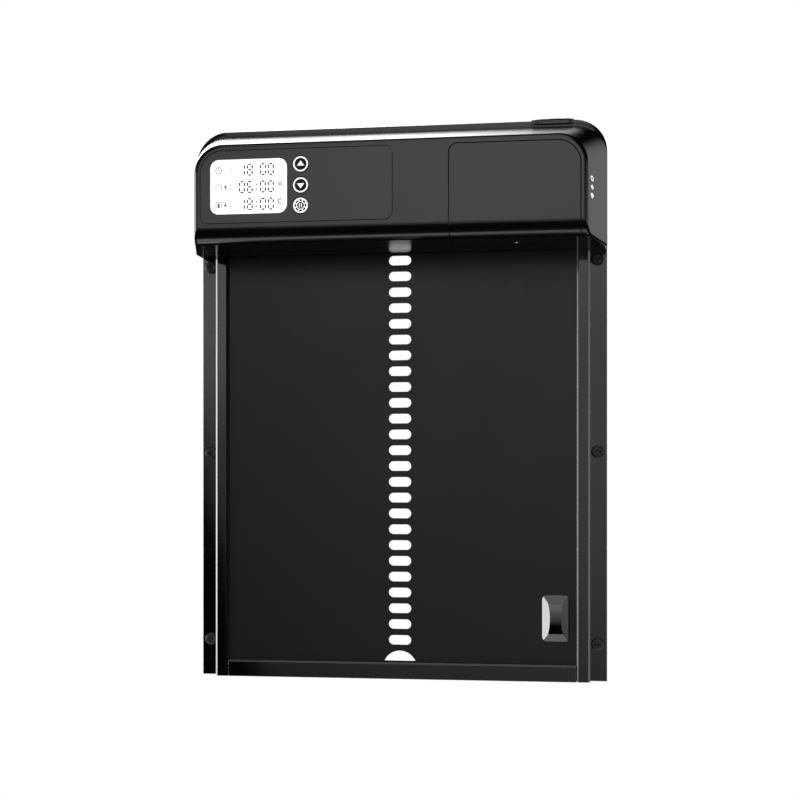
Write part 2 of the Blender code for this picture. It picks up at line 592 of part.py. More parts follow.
cheek = (-39.2, -10.5, STRAP_Z[0] - 2.2, STRAP_Z[1] + 2.2)
bracket = part("motor_bracket", prism(rounded(*cheek, (6.0, 0.5, 0.5, 6.0), 3), "X", -10.7, -9.2), STEEL)
far_cheek = (-28.0, *cheek[1:])
join(bracket, prism(rounded(*far_cheek, (6.0, 0.5, 0.5, 6.0), 3), "X", 9.2, 10.7))
for z in STRAP_Z:
    join(bracket, block((-10.2, 10.2), (-12.2, -10.51), (z - 2.1, z + 2.1)))
    cut(bracket, rod("Y", (0.0, z), 1.6, -14.0, -9.0, 12))
cut(bracket, rod("X", gear_axis[1:], SHAFT_BORE + 0.2, -12.0, -8.0, 20))
cut(bracket, rod("X", gear_axis[1:], 4.9, 8.0, 12.0, 20))
for i, z in enumerate(STRAP_Z):
    screw(f"bracket_screw_{i + 1}", (0.0, -12.4, z), -1, (2.6, 1.6), (1.25, 4.0))

bush = part("shaft_bush", turned("X", gear_axis[1:], [(4.6, 8.6), (4.6, 11.0), (6.2, 11.0), (6.2, 12.2)], 20),
            BRONZE)
cut(bush, rod("X", gear_axis[1:], SHAFT_BORE, 7.0, 14.0, 20))


# ---------------------------------------------------------------- charging port

port = part("charging_port", block((PORT_X - 5.0, PORT_X + 5.0), (PORT_Y - 2.1, PORT_Y + 1.6),
                                   (348.0, 358.0)), STEEL)
cut(port, prism(rounded(PORT_X - 4.4, PORT_X + 4.4, PORT_Y - 1.7, PORT_Y + 1.2, (1.4,) * 4, 3),
                "Z", 351.0, 360.0))


# The cap's section over the lip: its seat, and its outer side where it is thinnest and where it is full.
CAP_SEAT = ((-16.75, 358.9), (-15.5, 361.7), (-10.0, 363.3), (-8.8, 363.3))
CAP_THIN = ((-8.8, 363.45), (-9.2, 363.5), (-10.2, 363.5), (-15.7, 361.95), (-16.2, 360.8), (-16.9, 358.95))
CAP_FULL = ((-8.8, 363.75), (-9.2, 363.95), (-10.2, 363.95), (-16.2, 362.3), (-17.0, 361.2), (-17.2, 359.1))


def plug_ring(x, share):
    outer = [(a + share * (c - a), b + share * (d - b)) for (a, b), (c, d) in zip(CAP_THIN, CAP_FULL)]
    return [(x, y, z) for y, z in [*CAP_SEAT, *outer]]


plug = part("port_plug", loft([plug_ring(86.8, 0.0), plug_ring(93.5, 1.0), plug_ring(109.8, 1.0),
                               plug_ring(113.8, 0.0)]), RUBBER)
join(plug, block((PORT_X - 3.6, PORT_X + 3.6), (PORT_Y - 1.2, PORT_Y + 0.8), (353.0, 363.0)))


# ---------------------------------------------------------------- leads

def lead(name, points, radius=1.1):
    """A round cable inside the housing, on a smooth curve through its route."""
    route = [Vector(points[0])] + [Vector(p) for p in points] + [Vector(points[-1])]
    steps = 5
    places = []
    for a, b, c, d in zip(route, route[1:], route[2:], route[3:]):
        for i in range(steps):
            t = i / steps
            places.append(0.5 * ((2 * b) + (c - a) * t + (2 * a - 5 * b + 4 * c - d) * t ** 2
                                 + (3 * b - a - 3 * c + d) * t ** 3))
    places.append(route[-1])
    curve = bpy.data.curves.new(name, "CURVE")
    curve.dimensions = "3D"
    curve.bevel_depth = radius * MM
    curve.bevel_resolution = 1
    curve.use_fill_caps = True
    spline = curve.splines.new("POLY")
    spline.points.add(len(places) - 1)
    for point, place in zip(spline.points, places):
        point.co = (*(place * MM), 1.0)
    made = bpy.data.objects.new(name, curve)
    bpy.context.collection.objects.link(made)
    made.parent = root
    made.data.materials.append(RUBBER)


lead("battery_lead", ((40.6, -50.0, 325.0), (36.0, -50.0, 325.6), (28.0, -48.5, 330.0), (0.0, -47.0, 334.0),
                      (-28.0, -49.0, 333.0), (-37.0, -54.0, 331.0), (-41.6, -55.2, 330.5)))
lead("motor_lead", ((-68.4, -27.0, 308.5), (-73.0, -29.0, 308.0), (-76.0, -37.0, 303.0),
                    (-74.4, -44.0, 299.4), (-74.2, -48.6, 299.0)))
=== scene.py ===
import math
import bmesh
import bpy
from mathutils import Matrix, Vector


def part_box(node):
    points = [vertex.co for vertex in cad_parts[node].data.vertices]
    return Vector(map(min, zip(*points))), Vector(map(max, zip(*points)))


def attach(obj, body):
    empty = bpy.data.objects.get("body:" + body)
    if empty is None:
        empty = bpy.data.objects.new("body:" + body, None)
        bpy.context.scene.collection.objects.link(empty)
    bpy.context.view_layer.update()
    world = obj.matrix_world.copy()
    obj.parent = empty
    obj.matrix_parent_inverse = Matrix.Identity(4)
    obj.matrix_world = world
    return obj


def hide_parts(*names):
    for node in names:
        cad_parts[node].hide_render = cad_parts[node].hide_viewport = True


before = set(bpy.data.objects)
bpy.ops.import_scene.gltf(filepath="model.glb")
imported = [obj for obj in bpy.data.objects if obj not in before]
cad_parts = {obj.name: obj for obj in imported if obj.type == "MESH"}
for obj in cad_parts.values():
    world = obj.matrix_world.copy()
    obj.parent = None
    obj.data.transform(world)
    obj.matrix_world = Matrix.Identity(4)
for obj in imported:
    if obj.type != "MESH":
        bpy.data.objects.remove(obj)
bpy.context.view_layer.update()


# -------- side rails
# The two side rails are folded from 2 mm aluminium: a flat flange for the wall screws and a channel in
# front of it for the door's edge. They are coated gloss black after folding, so the chamfered corners
# carry the same coat as the faces. Handling rubs patches of them bare, and an unbroken pale line along
# every edge is a painted highlight.

MM = 0.001
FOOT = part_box("rail_left")[0].z
# Bare metal for worn edges; on the rails and sill it also draws the painted highlight lines.
BARE_METAL_AND_HIGHLIGHT = (0.60, 0.60, 0.61, 1.0)
DUST = (0.30, 0.28, 0.25, 1.0)


def new_group(name, inputs, outputs):
    """An empty node group with float or colour sockets, and its input and output nodes."""
    group = bpy.data.node_groups.new(name, "ShaderNodeTree")
    for direction, sockets in (("INPUT", inputs), ("OUTPUT", outputs)):
        for label, kind, value in sockets:
            socket = group.interface.new_socket(label, in_out=direction, socket_type=f"NodeSocket{kind}")
            if value is not None:
                socket.default_value = value
    return group, group.nodes.new("NodeGroupInput"), group.nodes.new("NodeGroupOutput")


def node(tree, kind, settings=None, **inputs):
    """A node with its properties and inputs set; an input given as a socket is linked."""
    made = tree.nodes.new(f"ShaderNode{kind}")
    for label, value in (settings or {}).items():
        setattr(made, label, value)
    for label, value in inputs.items():
        key = int(label[1:]) if label[0] == "i" and label[1:].isdigit() else label.replace("_", " ")
        if isinstance(value, bpy.types.NodeSocket):
            tree.links.new(value, made.inputs[key])
        else:
            made.inputs[key].default_value = value
    return made


def noise(tree, place, scale, detail=2.0, roughness=0.5):
    made = node(tree, "TexNoise", Vector=place, Scale=scale, Detail=detail, Roughness=roughness)
    return made.outputs["Fac"]


def span(tree, value, low, high, to_low=0.0, to_high=1.0):
    """Value mapped from one range to another, smoothly and clamped."""
    eased = node(tree, "MapRange", {"interpolation_type": "SMOOTHSTEP"}, Value=value, From_Min=low,
                 From_Max=high, To_Min=to_low, To_Max=to_high)
    return eased.outputs["Result"]


def maths(tree, how, a, b=0.0):
    return node(tree, "Math", {"operation": how}, i0=a, i1=b).outputs[0]


def mixed(tree, amount, first, second):
    return node(tree, "Mix", {"data_type": "RGBA"}, i0=amount, i6=first, i7=second).outputs[2]


# Surface grain: the fine relief of a moulding or a coat, with slow patches of sheen over it.
grain, g_in, g_out = new_group(
    "surface grain", [("Place", "Vector", None), ("Fineness", "Float", 2500.0), ("Patches", "Float", 25.0)],
    [("Relief", "Float", None), ("Sheen", "Float", None)])
fine = noise(grain, g_in.outputs["Place"], g_in.outputs["Fineness"], 3.0, 0.6)
patch = noise(grain, g_in.outputs["Place"], g_in.outputs["Patches"], 4.0, 0.55)
grain.links.new(fine, g_out.inputs["Relief"])
grain.links.new(span(grain, patch, 0.3, 0.7), g_out.inputs["Sheen"])

# Edge wear and painted highlight: corners where the coat lies thin and where hands and the door rub, with
# noise breaking it up. The even share is a painted highlight: an unbroken pale line along the edge.
wear_and_highlight, w_in, w_out = new_group("edge marks and painted highlight",
                              [("Place", "Vector", None), ("Reach", "Float", 0.5), ("Even", "Float", 0.0),
                               ("Break", "Float", 260.0)], [("Mask", "Float", None)])
rounded_off = node(wear_and_highlight, "Bevel", {"samples": 4}, Radius=0.35 * MM).outputs["Normal"]
level = node(wear_and_highlight, "VectorMath", {"operation": "DOT_PRODUCT"}, i0=rounded_off,
             i1=node(wear_and_highlight, "NewGeometry").outputs["Normal"]).outputs["Value"]
raised = span(wear_and_highlight, level, 0.985, 0.90)
broken = span(wear_and_highlight, noise(wear_and_highlight, w_in.outputs["Place"], w_in.outputs["Break"], 5.0, 0.65), 0.48, 0.66)
whole = maths(wear_and_highlight, "MAXIMUM", broken, w_in.outputs["Even"])
wear_and_highlight.links.new(maths(wear_and_highlight, "MULTIPLY", maths(wear_and_highlight, "MULTIPLY", raised, whole), w_in.outputs["Reach"]),
               w_out.inputs["Mask"])

# Dust: lies on faces that look up, thicker in patches, with single specks.
dust, d_in, d_out = new_group("settled dust", [("Place", "Vector", None), ("Amount", "Float", 0.2)],
                              [("Mask", "Float", None)])
up = node(dust, "SeparateXYZ", Vector=node(dust, "NewGeometry").outputs["Normal"]).outputs["Z"]
lying = span(dust, up, 0.35, 1.0)
cloud = span(dust, noise(dust, d_in.outputs["Place"], 60.0, 5.0, 0.6), 0.35, 0.75)
speck = node(dust, "TexVoronoi", Vector=d_in.outputs["Place"], Scale=420.0).outputs["Distance"]
specks = span(dust, speck, 0.10, 0.04, 0.0, 1.0)
layer = maths(dust, "MULTIPLY", maths(dust, "ADD", maths(dust, "MULTIPLY", cloud, 0.6),
                                      maths(dust, "MULTIPLY", specks, 0.5)), lying)
dust.links.new(maths(dust, "MULTIPLY", layer, d_in.outputs["Amount"]), d_out.inputs["Mask"])

# Rub marks: fine parallel hairlines, long along one axis, that break up a gloss.
rub, r_in, r_out = new_group("rub marks",
                             [("Place", "Vector", None), ("Stretch", "Vector", (1.0, 1.0, 1.0)),
                              ("Fineness", "Float", 900.0)], [("Lines", "Float", None)])
drawn = node(rub, "VectorMath", {"operation": "MULTIPLY"}, i0=r_in.outputs["Place"],
             i1=r_in.outputs["Stretch"])
lines = noise(rub, drawn.outputs[0], r_in.outputs["Fineness"], 3.0, 0.7)
where = noise(rub, r_in.outputs["Place"], 22.0, 3.0, 0.6)
rub.links.new(maths(rub, "MULTIPLY", span(rub, lines, 0.52, 0.72), span(rub, where, 0.4, 0.7)),
              r_out.inputs["Lines"])


def coat(name, colour, roughness, metallic=0.0, fineness=2500.0, relief=0.03, patches=25.0, sheen=0.06,
         edge_reach=0.0, even=0.0, edge_colour=BARE_METAL_AND_HIGHLIGHT, dusty=0.0, rubbed=0.0, stretch=(1.0, 1.0, 0.03),
         shift=0.12, ior=1.5, glow=0.0):
    """A finish from its colour and gloss, with its grain, wear, dust, rub marks, painted edge highlight and
    glow.
    """
    made = bpy.data.materials.new(name)
    made.use_nodes = True
    tree = made.node_tree
    shader = tree.nodes["Principled BSDF"]
    shader.inputs["Metallic"].default_value = metallic
    shader.inputs["IOR"].default_value = ior
    place = node(tree, "TexCoord").outputs["Object"]
    grained = node(tree, "Group", {"node_tree": grain}, Place=place, Fineness=fineness, Patches=patches)
    dark, light = ((*(c * (1.0 + by) for c in colour), 1.0) for by in (-shift, shift))
    tone = mixed(tree, grained.outputs["Sheen"], dark, light)
    gloss = span(tree, grained.outputs["Sheen"], 0.0, 1.0, roughness - sheen / 2, roughness + sheen / 2)
    if rubbed:
        marks = node(tree, "Group", {"node_tree": rub}, Place=place, Stretch=stretch).outputs["Lines"]
        gloss = maths(tree, "ADD", gloss, maths(tree, "MULTIPLY", marks, rubbed))
    # Edge mask: wear broken up by noise, plus an unbroken pale line along the edges that is a painted
    # highlight.
    if edge_reach:
        edge_mask = node(tree, "Group", {"node_tree": wear_and_highlight}, Place=place, Reach=edge_reach, Even=even).outputs["Mask"]
        tone = mixed(tree, edge_mask, tone, edge_colour)
        gloss = maths(tree, "ADD", gloss, maths(tree, "MULTIPLY", edge_mask, 0.35))
        if edge_colour == BARE_METAL_AND_HIGHLIGHT:
            tree.links.new(maths(tree, "MAXIMUM", edge_mask, metallic), shader.inputs["Metallic"])
    if dusty:
        lying_dust = node(tree, "Group", {"node_tree": dust}, Place=place, Amount=dusty).outputs["Mask"]
        tone = mixed(tree, lying_dust, tone, DUST)
        gloss = maths(tree, "ADD", gloss, maths(tree, "MULTIPLY", lying_dust, 0.6))
    tree.links.new(tone, shader.inputs["Base Color"])
    tree.links.new(gloss, shader.inputs["Roughness"])
    bump = node(tree, "Bump", Strength=0.6, Distance=relief * MM, Height=grained.outputs["Relief"])
    tree.links.new(bump.outputs["Normal"], shader.inputs["Normal"])
    # Emission: the display's backlight; on the white key and cheek prints it is a painted glow.
    if glow:
        tree.links.new(tone, shader.inputs["Emission Color"])
        shader.inputs["Emission Strength"].default_value = glow
    return made


def soften(piece, width, segments=2, angle=28.0):
    """Takes the razor edge off a piece, as tooling and coating do, and smooths its round faces."""
    piece.data.shade_smooth()
    piece.data.set_sharp_from_angle(angle=math.radians(angle))
    if width:
        bevel = piece.modifiers.new("edges", "BEVEL")
        bevel.width = width * MM
        bevel.segments = segments
        bevel.limit_method = "ANGLE"
        bevel.angle_limit = math.radians(angle)
        bevel.harden_normals = True
    piece.modifiers.new("normals", "WEIGHTED_NORMAL").keep_sharp = True


def dress(name, finish, edge=0.0):
    """Gives a node of the frame its finish and, where it shows, soft edges."""
    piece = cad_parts[name]
    piece.data.materials.clear()
    piece.data.materials.append(finish)
    if edge:
        soften(piece, edge)
    return piece


def lift(pair, axis, level):
    """A point from two coordinates in X, Y, Z order and the level on the third axis."""
    point = list(pair)
    point.insert("XYZ".index(axis), level)
    return point


def loft(rings):
    """Skins closed rings of equal length, one after the other, and caps both ends."""
    shape = bmesh.new()
    rows = [[shape.verts.new(point) for point in ring] for ring in rings]
    count = len(rows[0])
    for lower, upper in zip(rows, rows[1:]):
        for i in range(count):
            j = (i + 1) % count
            shape.faces.new((lower[i], lower[j], upper[j], upper[i]))
    shape.faces.new(rows[0])
    shape.faces.new(rows[-1])
    bmesh.ops.recalc_face_normals(shape, faces=shape.faces)
    return shape


def prism(outline, axis, low, high):
    return loft([[lift(pair, axis, level) for pair in outline] for level in (low, high)])


def block(x, y, z):
    return prism([(x[0], y[0]), (x[1], y[0]), (x[1], y[1]), (x[0], y[1])], "Z", *z)


def circle(centre, radius, sides=48):
    turn = 2 * math.pi / sides
    return [(centre[0] + radius * math.cos(i * turn), centre[1] + radius * math.sin(i * turn))
            for i in range(sides)]


def rod(axis, centre, radius, low, high, sides=48):
    return prism(circle(centre, radius, sides), axis, low, high)


def turned(axis, centre, profile, sides=48):
    """A solid of revolution from pairs of radius and level."""
    return loft([[lift(pair, axis, level) for pair in circle(centre, radius, sides)]
                 for radius, level in profile])


def gathered(shapes):
    """Several separate shapes as one."""
    whole = bmesh.new()
    for shape in shapes:
        held = bpy.data.meshes.new("held")
        shape.to_mesh(held)
        shape.free()
        whole.from_mesh(held)
        bpy.data.meshes.remove(held)
    return whole


def placed(shape, name):
    """An object from a shape in millimetres, whose heights count from the foot of the frame."""
    for vertex in shape.verts:
        vertex.co = Vector((vertex.co.x * MM, vertex.co.y * MM, vertex.co.z * MM + FOOT))
    mesh = bpy.data.meshes.new(name)
    shape.to_mesh(mesh)
    shape.free()
    made = bpy.data.objects.new(name, mesh)
    bpy.context.scene.collection.objects.link(made)
    return made


CUT, JOIN, KEEP = "DIFFERENCE", "UNION", "INTERSECT"


def piece(name, shape, finish, body, slot, *nodes, work=(), edge=0.0, segments=2):
    """A finished piece riding on a body of the frame. Its work is the shapes cut or joined, in order."""
    made = placed(shape, name)
    helpers = []
    for operation, other in work:
        step = made.modifiers.new(operation, "BOOLEAN")
        step.operation = operation
        step.solver = "EXACT"
        step.object = placed(other, "tool")
        helpers.append(step.object)
    if helpers:
        bpy.context.view_layer.update()
        worked = made.evaluated_get(bpy.context.evaluated_depsgraph_get())
        made.data = bpy.data.meshes.new_from_object(worked)
        made.modifiers.clear()
        for helper in helpers:
            bpy.data.objects.remove(helper, do_unlink=True)
    made.data.materials.clear()
    made.data.materials.append(finish)
    soften(made, edge, segments)
    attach(made, body)
    if nodes:
        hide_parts(*nodes)
    return made


RAIL_HEIGHT = 341.0
HALF_W = 135.0
SHEET, RAIL_WALL, RAIL_CHAMFER, EDGE_BREAK = 2.0, 1.5, 1.4, (1.2, 0.7)
RAIL_FRONT_Y, RAIL_INNER_X, RAIL_WEB_X = -10.0, 115.5, 124.1
FLANGE_SCREW_X, FLANGE_SCREW_Z = 128.8, (24.0, 149.0, 274.0)
HOUSING_SCREW_X, HOUSING_SCREW_Z = 129.6, (291.0, 334.0)
TIE_SCREW_X, TIE_SCREW_Z = 118.6, (3.4, 330.0)

GLOSS_BLACK = (0.0012, 0.0012, 0.0013)
# The gloss coat paints an unbroken pale line along the rails' and sill's edges: a painted highlight over
# their edge wear.
GLOSS_COAT = {"fineness": 1400.0, "relief": 0.0015, "patches": 9.0, "sheen": 0.02, "even": 0.8,
              "rubbed": 0.03}
rail_coat = coat("rail_coat", GLOSS_BLACK, 0.07, edge_reach=0.75, dusty=0.02, **GLOSS_COAT)
for side, name in ((-1, "left"), (1, "right")):
    section = [(RAIL_INNER_X, 0), (HALF_W, 0), (HALF_W, -SHEET + 0.4), (HALF_W - 0.4, -SHEET),
               (RAIL_WEB_X, -SHEET), (RAIL_WEB_X, RAIL_FRONT_Y + RAIL_CHAMFER),
               (RAIL_WEB_X - RAIL_CHAMFER, RAIL_FRONT_Y), (RAIL_INNER_X + EDGE_BREAK[0], RAIL_FRONT_Y),
               (RAIL_INNER_X, RAIL_FRONT_Y + EDGE_BREAK[1]), (RAIL_INNER_X, RAIL_FRONT_Y + RAIL_WALL),
               (RAIL_WEB_X - RAIL_WALL, RAIL_FRONT_Y + RAIL_WALL), (RAIL_WEB_X - RAIL_WALL, -SHEET),
               (RAIL_INNER_X, -SHEET)]
    holes = [rod("Y", (side * FLANGE_SCREW_X, z), 2.3, -4.0, 2.0) for z in FLANGE_SCREW_Z]
    holes += [turned("Y", (side * HOUSING_SCREW_X, z), [(3.5, 0.5), (3.4, -0.3), (1.8, -1.7), (1.8, -3.0)])
              for z in HOUSING_SCREW_Z]
    holes += [turned("Y", (side * TIE_SCREW_X, z), [(2.6, 0.5), (2.5, -0.3), (1.5, -1.4), (1.5, -3.0)])
              for z in TIE_SCREW_Z]
    piece(f"folded_rail_{name}", prism([(side * x, y) for x, y in section], "Z", 0.0, RAIL_HEIGHT), rail_coat,
          "frame", "rail_paint", f"rail_{name}", work=[(CUT, gathered(holes))], edge=0.22)


# -------- sill
# The sill is a third channel, cut to length between the rails. A tongue at each end drops into the foot
# of the rail, and one countersunk screw from behind holds it. The door's lower edge drops into it.

SILL_HEIGHT = 11.0
SILL_HALF_W = RAIL_INNER_X - 0.3
sill_section = [(0, 0), (0, SILL_HEIGHT), (-SHEET, SILL_HEIGHT), (-SHEET, SHEET),
                (RAIL_FRONT_Y + RAIL_WALL, SHEET), (RAIL_FRONT_Y + RAIL_WALL, SILL_HEIGHT),
                (RAIL_FRONT_Y + EDGE_BREAK[1], SILL_HEIGHT), (RAIL_FRONT_Y, SILL_HEIGHT - EDGE_BREAK[0]),
                (RAIL_FRONT_Y, 0)]
TONGUE_X, TONGUE_Y, TONGUE_Z = (SILL_HALF_W - 2.0, 122.2), (-8.2, -2.3), (0.4, 6.4)
tongues = [block(sorted(side * x for x in TONGUE_X), TONGUE_Y, TONGUE_Z) for side in (-1, 1)]
tie_holes = [rod("Y", (side * TIE_SCREW_X, TIE_SCREW_Z[0]), 1.5, -7.0, -1.0) for side in (-1, 1)]
# The sill's coat carries the same painted highlight line along its edges.
piece("folded_sill", prism(sill_section, "X", -SILL_HALF_W, SILL_HALF_W),
      coat("sill_coat", GLOSS_BLACK, 0.07, edge_reach=0.85, dusty=0.05, stretch=(0.03, 1.0, 1.0), **GLOSS_COAT),
      "frame", "rail_paint", "sill", work=[(JOIN, gathered(tongues)), (CUT, gathered(tie_holes))], edge=0.22)


# -------- sill bumper and glide liners
# A soft rubber strip lies in the sill and stops the door quietly. Natural nylon strips line both rail
# channels, so the door's painted edges never touch metal.

soft_rubber = coat("soft_rubber", (0.018, 0.018, 0.018), 0.72, fineness=3200.0, relief=0.05, patches=40.0,
                   sheen=0.12, dusty=0.45)
dress("sill_bumper", soft_rubber, 0.3)
dark_nylon = coat("dark_nylon", (0.030, 0.030, 0.030), 0.45, fineness=1800.0, relief=0.02, patches=30.0,
                  sheen=0.12, rubbed=0.2, dusty=0.15)
for side in ("left", "right"):
    dress(f"glide_liner_{side}", dark_nylon, 0.2)


# -------- back plate
# A flat plate joins the rails behind the housing and keeps the door's upper end away from the wall. Its
# joggled edges lap into the rails, where one small countersunk screw on each side holds them.

PLATE_LOW = 283.0
LAP_X, JOGGLE_X, LAP_Y, JOGGLE_Y = (113.2, 121.8), (113.2, 115.0), (-3.6, -2.3), (-3.6, -1.0)
LAP_Z = (PLATE_LOW + 1.0, RAIL_HEIGHT - 1.0)
laps = [block(sorted(side * x for x in xs), ys, LAP_Z)
        for side in (-1, 1) for xs, ys in ((LAP_X, LAP_Y), (JOGGLE_X, JOGGLE_Y))]
lap_holes = [rod("Y", (side * TIE_SCREW_X, TIE_SCREW_Z[1]), 1.5, -5.0, -1.0) for side in (-1, 1)]
piece("pressed_back_plate",
      block((-SILL_HALF_W, SILL_HALF_W), (-SHEET, 0.0), (PLATE_LOW, RAIL_HEIGHT)),
      coat("plate_coat", (0.010, 0.010, 0.0105), 0.30, fineness=1400.0, relief=0.015, patches=12.0,
           sheen=0.10, edge_reach=0.3, rubbed=0.25),
      "frame", "rail_paint", "back_plate", work=[(JOIN, lap) for lap in laps] + [(CUT, gathered(lap_holes))],
      edge=0.2)


# -------- frame screws
# Black-plated steel pan heads with a cross recess hold the flanges to the wall. Smaller countersunk ones
# come from behind and tie the sill, the back plate and the housing to the rails.

black_steel = coat("black_steel", (0.020, 0.020, 0.021), 0.42, metallic=0.3, fineness=2200.0, relief=0.01,
                   patches=260.0, sheen=0.14, edge_reach=0.25, dusty=0.15)
zinc_steel = coat("zinc_steel", (0.62, 0.62, 0.60), 0.30, metallic=1.0, fineness=2000.0, relief=0.008,
                  patches=200.0, sheen=0.12, rubbed=0.2, dusty=0.1)


def cross(centre, axis, size, low, high):
    """The tapered cross of a driver's bit, from its bottom to above the head."""
    rings = []
    for level, share in ((low, 0.62), (high, 1.25)):
        arm, half = size * share, size * 0.24 * share
        corner = [(arm, half), (half, half), (half, arm), (-half, arm), (-half, half), (-arm, half),
                  (-arm, -half), (-half, -half), (-half, -arm), (half, -arm), (half, -half), (arm, -half)]
        rings.append([lift((centre[0] + a, centre[1] + b), axis, level) for a, b in corner])
    return loft(rings)


def screw(node_name, axis, at, outward, head, shank, body, countersunk=False, steel=black_steel):
    """A screw whose head faces +1 or -1 along the axis, from (radius, height) and (radius, length) pairs."""
    k = "XYZ".index(axis)
    centre = [value for i, value in enumerate(at) if i != k]
    (head_r, head_h), (shank_r, shank_l) = head, shank
    if countersunk:
        steps = [(0.94 * head_r, 0.0), (head_r, -0.08), (head_r, -0.2), (shank_r, -head_h)]
        top = 0.0
    else:
        crown = ((0.72, 1.0), (0.82, 0.95), (0.9, 0.84), (0.96, 0.68), (1.0, 0.46))
        steps = [(across * head_r, up * head_h) for across, up in crown]
        steps += [(head_r, 0.06), (0.97 * head_r, 0.0), (shank_r, 0.0)]
        top = head_h
    thread, turn = -head_h if countersunk else -0.1, 0.55
    while thread - turn > -shank_l:
        steps += [(shank_r, thread), (0.84 * shank_r, thread - turn / 2)]
        thread -= turn
    steps += [(0.8 * shank_r, -shank_l)]
    recess = cross(centre, axis, 0.52 * head_r, at[k] + outward * (top - 0.62 * head_h),
                   at[k] + outward * (top + 0.15))
    piece(f"turned_{node_name}", turned(axis, centre, [(r, at[k] + outward * h) for r, h in steps], 40),
          steel, body, "black_steel", node_name, work=[(CUT, recess)])


TIE_SCREWS = (("sill_screw", TIE_SCREW_Z[0], 5.0), ("plate_screw", TIE_SCREW_Z[1], 3.6))
flange_places = [(side * FLANGE_SCREW_X, z) for side in (-1, 1) for z in FLANGE_SCREW_Z]
housing_places = [(side * HOUSING_SCREW_X, z) for side in (-1, 1) for z in HOUSING_SCREW_Z]
for i, (x, z) in enumerate(flange_places):
    screw(f"rail_screw_{i + 1}", "Y", (x, -SHEET - 0.2, z), -1, (4.1, 1.7), (1.9, 2.0), "frame")
for i, side in enumerate((-1, 1)):
    for kind, z, length in TIE_SCREWS:
        screw(f"{kind}_{i + 1}", "Y", (side * TIE_SCREW_X, -0.1, z), 1, (2.2, 1.2), (1.15, length), "frame",
              countersunk=True)
for i, (x, z) in enumerate(housing_places):
    screw(f"housing_screw_{i + 1}", "Y", (x, -0.1, z), 1, (3.0, 1.5), (1.45, 9.0), "frame", countersunk=True)


# -------- door panel
# The door is one 2 mm aluminium plate, powder coated satin black. The punched column of slots is the
# rack for the drive gear. A half-round notch is cut in the middle of its lower edge.

DOOR_HALF_W, DOOR_FRONT_Y, DOOR_BACK_Y = 119.5, -7.0, -5.0
DOOR_BOTTOM, DOOR_TOP = 7.0, 337.0
SLOT_W, SLOT_H, SLOT_PITCH, SLOT_COUNT, FIRST_SLOT = 14.9, 6.3, 10.41, 30, 25.38
NOTCH_RADIUS = 11.3
HANDLE_X, HANDLE_Z = 102.0, 41.05
HANDLE_SCREWS = (HANDLE_Z - 7.5, HANDLE_Z + 7.5)


def rounded(x0, x1, z0, z1, radii, steps=10):
    """A rounded rectangle. Radii go lower left, lower right, upper right, upper left."""
    corners = ((x0, z0, 1, 1, 180), (x1, z0, -1, 1, 270), (x1, z1, -1, -1, 0), (x0, z1, 1, -1, 90))
    points = []
    for (x, z, sx, sz, start), radius in zip(corners, radii):
        for i in range(steps + 1):
            angle = math.radians(start + 90 * i / steps)
            points.append((x + sx * radius + radius * math.cos(angle),
                           z + sz * radius + radius * math.sin(angle)))
    return points


def slab(rect, radii, low, high, steps=10):
    """A plate with rounded corners, lying in the plane of the front."""
    return prism(rounded(*rect, radii, steps), "Y", low, high)


def grown(rect, by):
    return (rect[0] - by, rect[1] + by, rect[2] - by, rect[3] + by)


punched = [rod("Y", (0.0, DOOR_BOTTOM), NOTCH_RADIUS, -9.0, -3.0, 96)]
punched += [rod("Y", (HANDLE_X, z), 1.6, -9.0, -3.0) for z in HANDLE_SCREWS]
for k in range(SLOT_COUNT):
    z = FIRST_SLOT + k * SLOT_PITCH
    outline = rounded(-SLOT_W / 2, SLOT_W / 2, z - SLOT_H / 2, z + SLOT_H / 2, (SLOT_H / 2 - 0.01,) * 4, 8)
    punched.append(prism(outline, "Y", -9.0, -3.0))
piece("coated_door",
      block((-DOOR_HALF_W, DOOR_HALF_W), (DOOR_FRONT_Y, DOOR_BACK_Y), (DOOR_BOTTOM, DOOR_TOP)),
      coat("door_coat", (0.0032, 0.0032, 0.0034), 0.31, fineness=1100.0, relief=0.012, patches=11.0,
           sheen=0.04, edge_reach=0.2, rubbed=0.05, dusty=0.04, ior=1.39),
      "door", "door_paint", "door_panel", work=[(CUT, gathered(punched))], edge=0.18)


# -------- door handle
# The handle is a gloss black moulding: a low bar with four planed facets, highest in the middle. Two
# screws come through the door from behind into its foot.

HANDLE_W, HANDLE_H, HANDLE_CORNER = 17.4, 29.9, 3.0
END_FACET, SKIRT, SIDE_SLOPE = 4.6, 1.3, 0.891
CREASE = (3.65, 5.0, 8.5)
HANDLE_BACK = DOOR_FRONT_Y - 0.3


def handle_ring(z):
    """A section across the handle at a distance z from its middle: a skirt, two planed sides, a flat top."""
    inner = HANDLE_H / 2 - END_FACET
    bow, out = min(1.0, abs(z) / inner), max(0.0, (abs(z) - inner) / END_FACET)
    crease = CREASE[0] + (CREASE[1] - CREASE[0]) * bow ** 2.2 + (CREASE[2] - CREASE[1]) * out
    rise = SKIRT + SIDE_SLOPE * (HANDLE_W / 2 - crease)
    into_corner = max(0.0, abs(z) - (HANDLE_H / 2 - HANDLE_CORNER))
    half = HANDLE_W / 2 - HANDLE_CORNER + math.sqrt(HANDLE_CORNER ** 2 - into_corner ** 2)
    side = min(SKIRT + SIDE_SLOPE * (HANDLE_W / 2 - half), rise)
    crease = min(crease, half - 0.05)
    section = [(half, 0.0), (half, side), (crease, rise), (-crease, rise), (-half, side), (-half, 0.0)]
    return [(HANDLE_X + x, HANDLE_BACK - y, HANDLE_Z + z) for x, y in section]


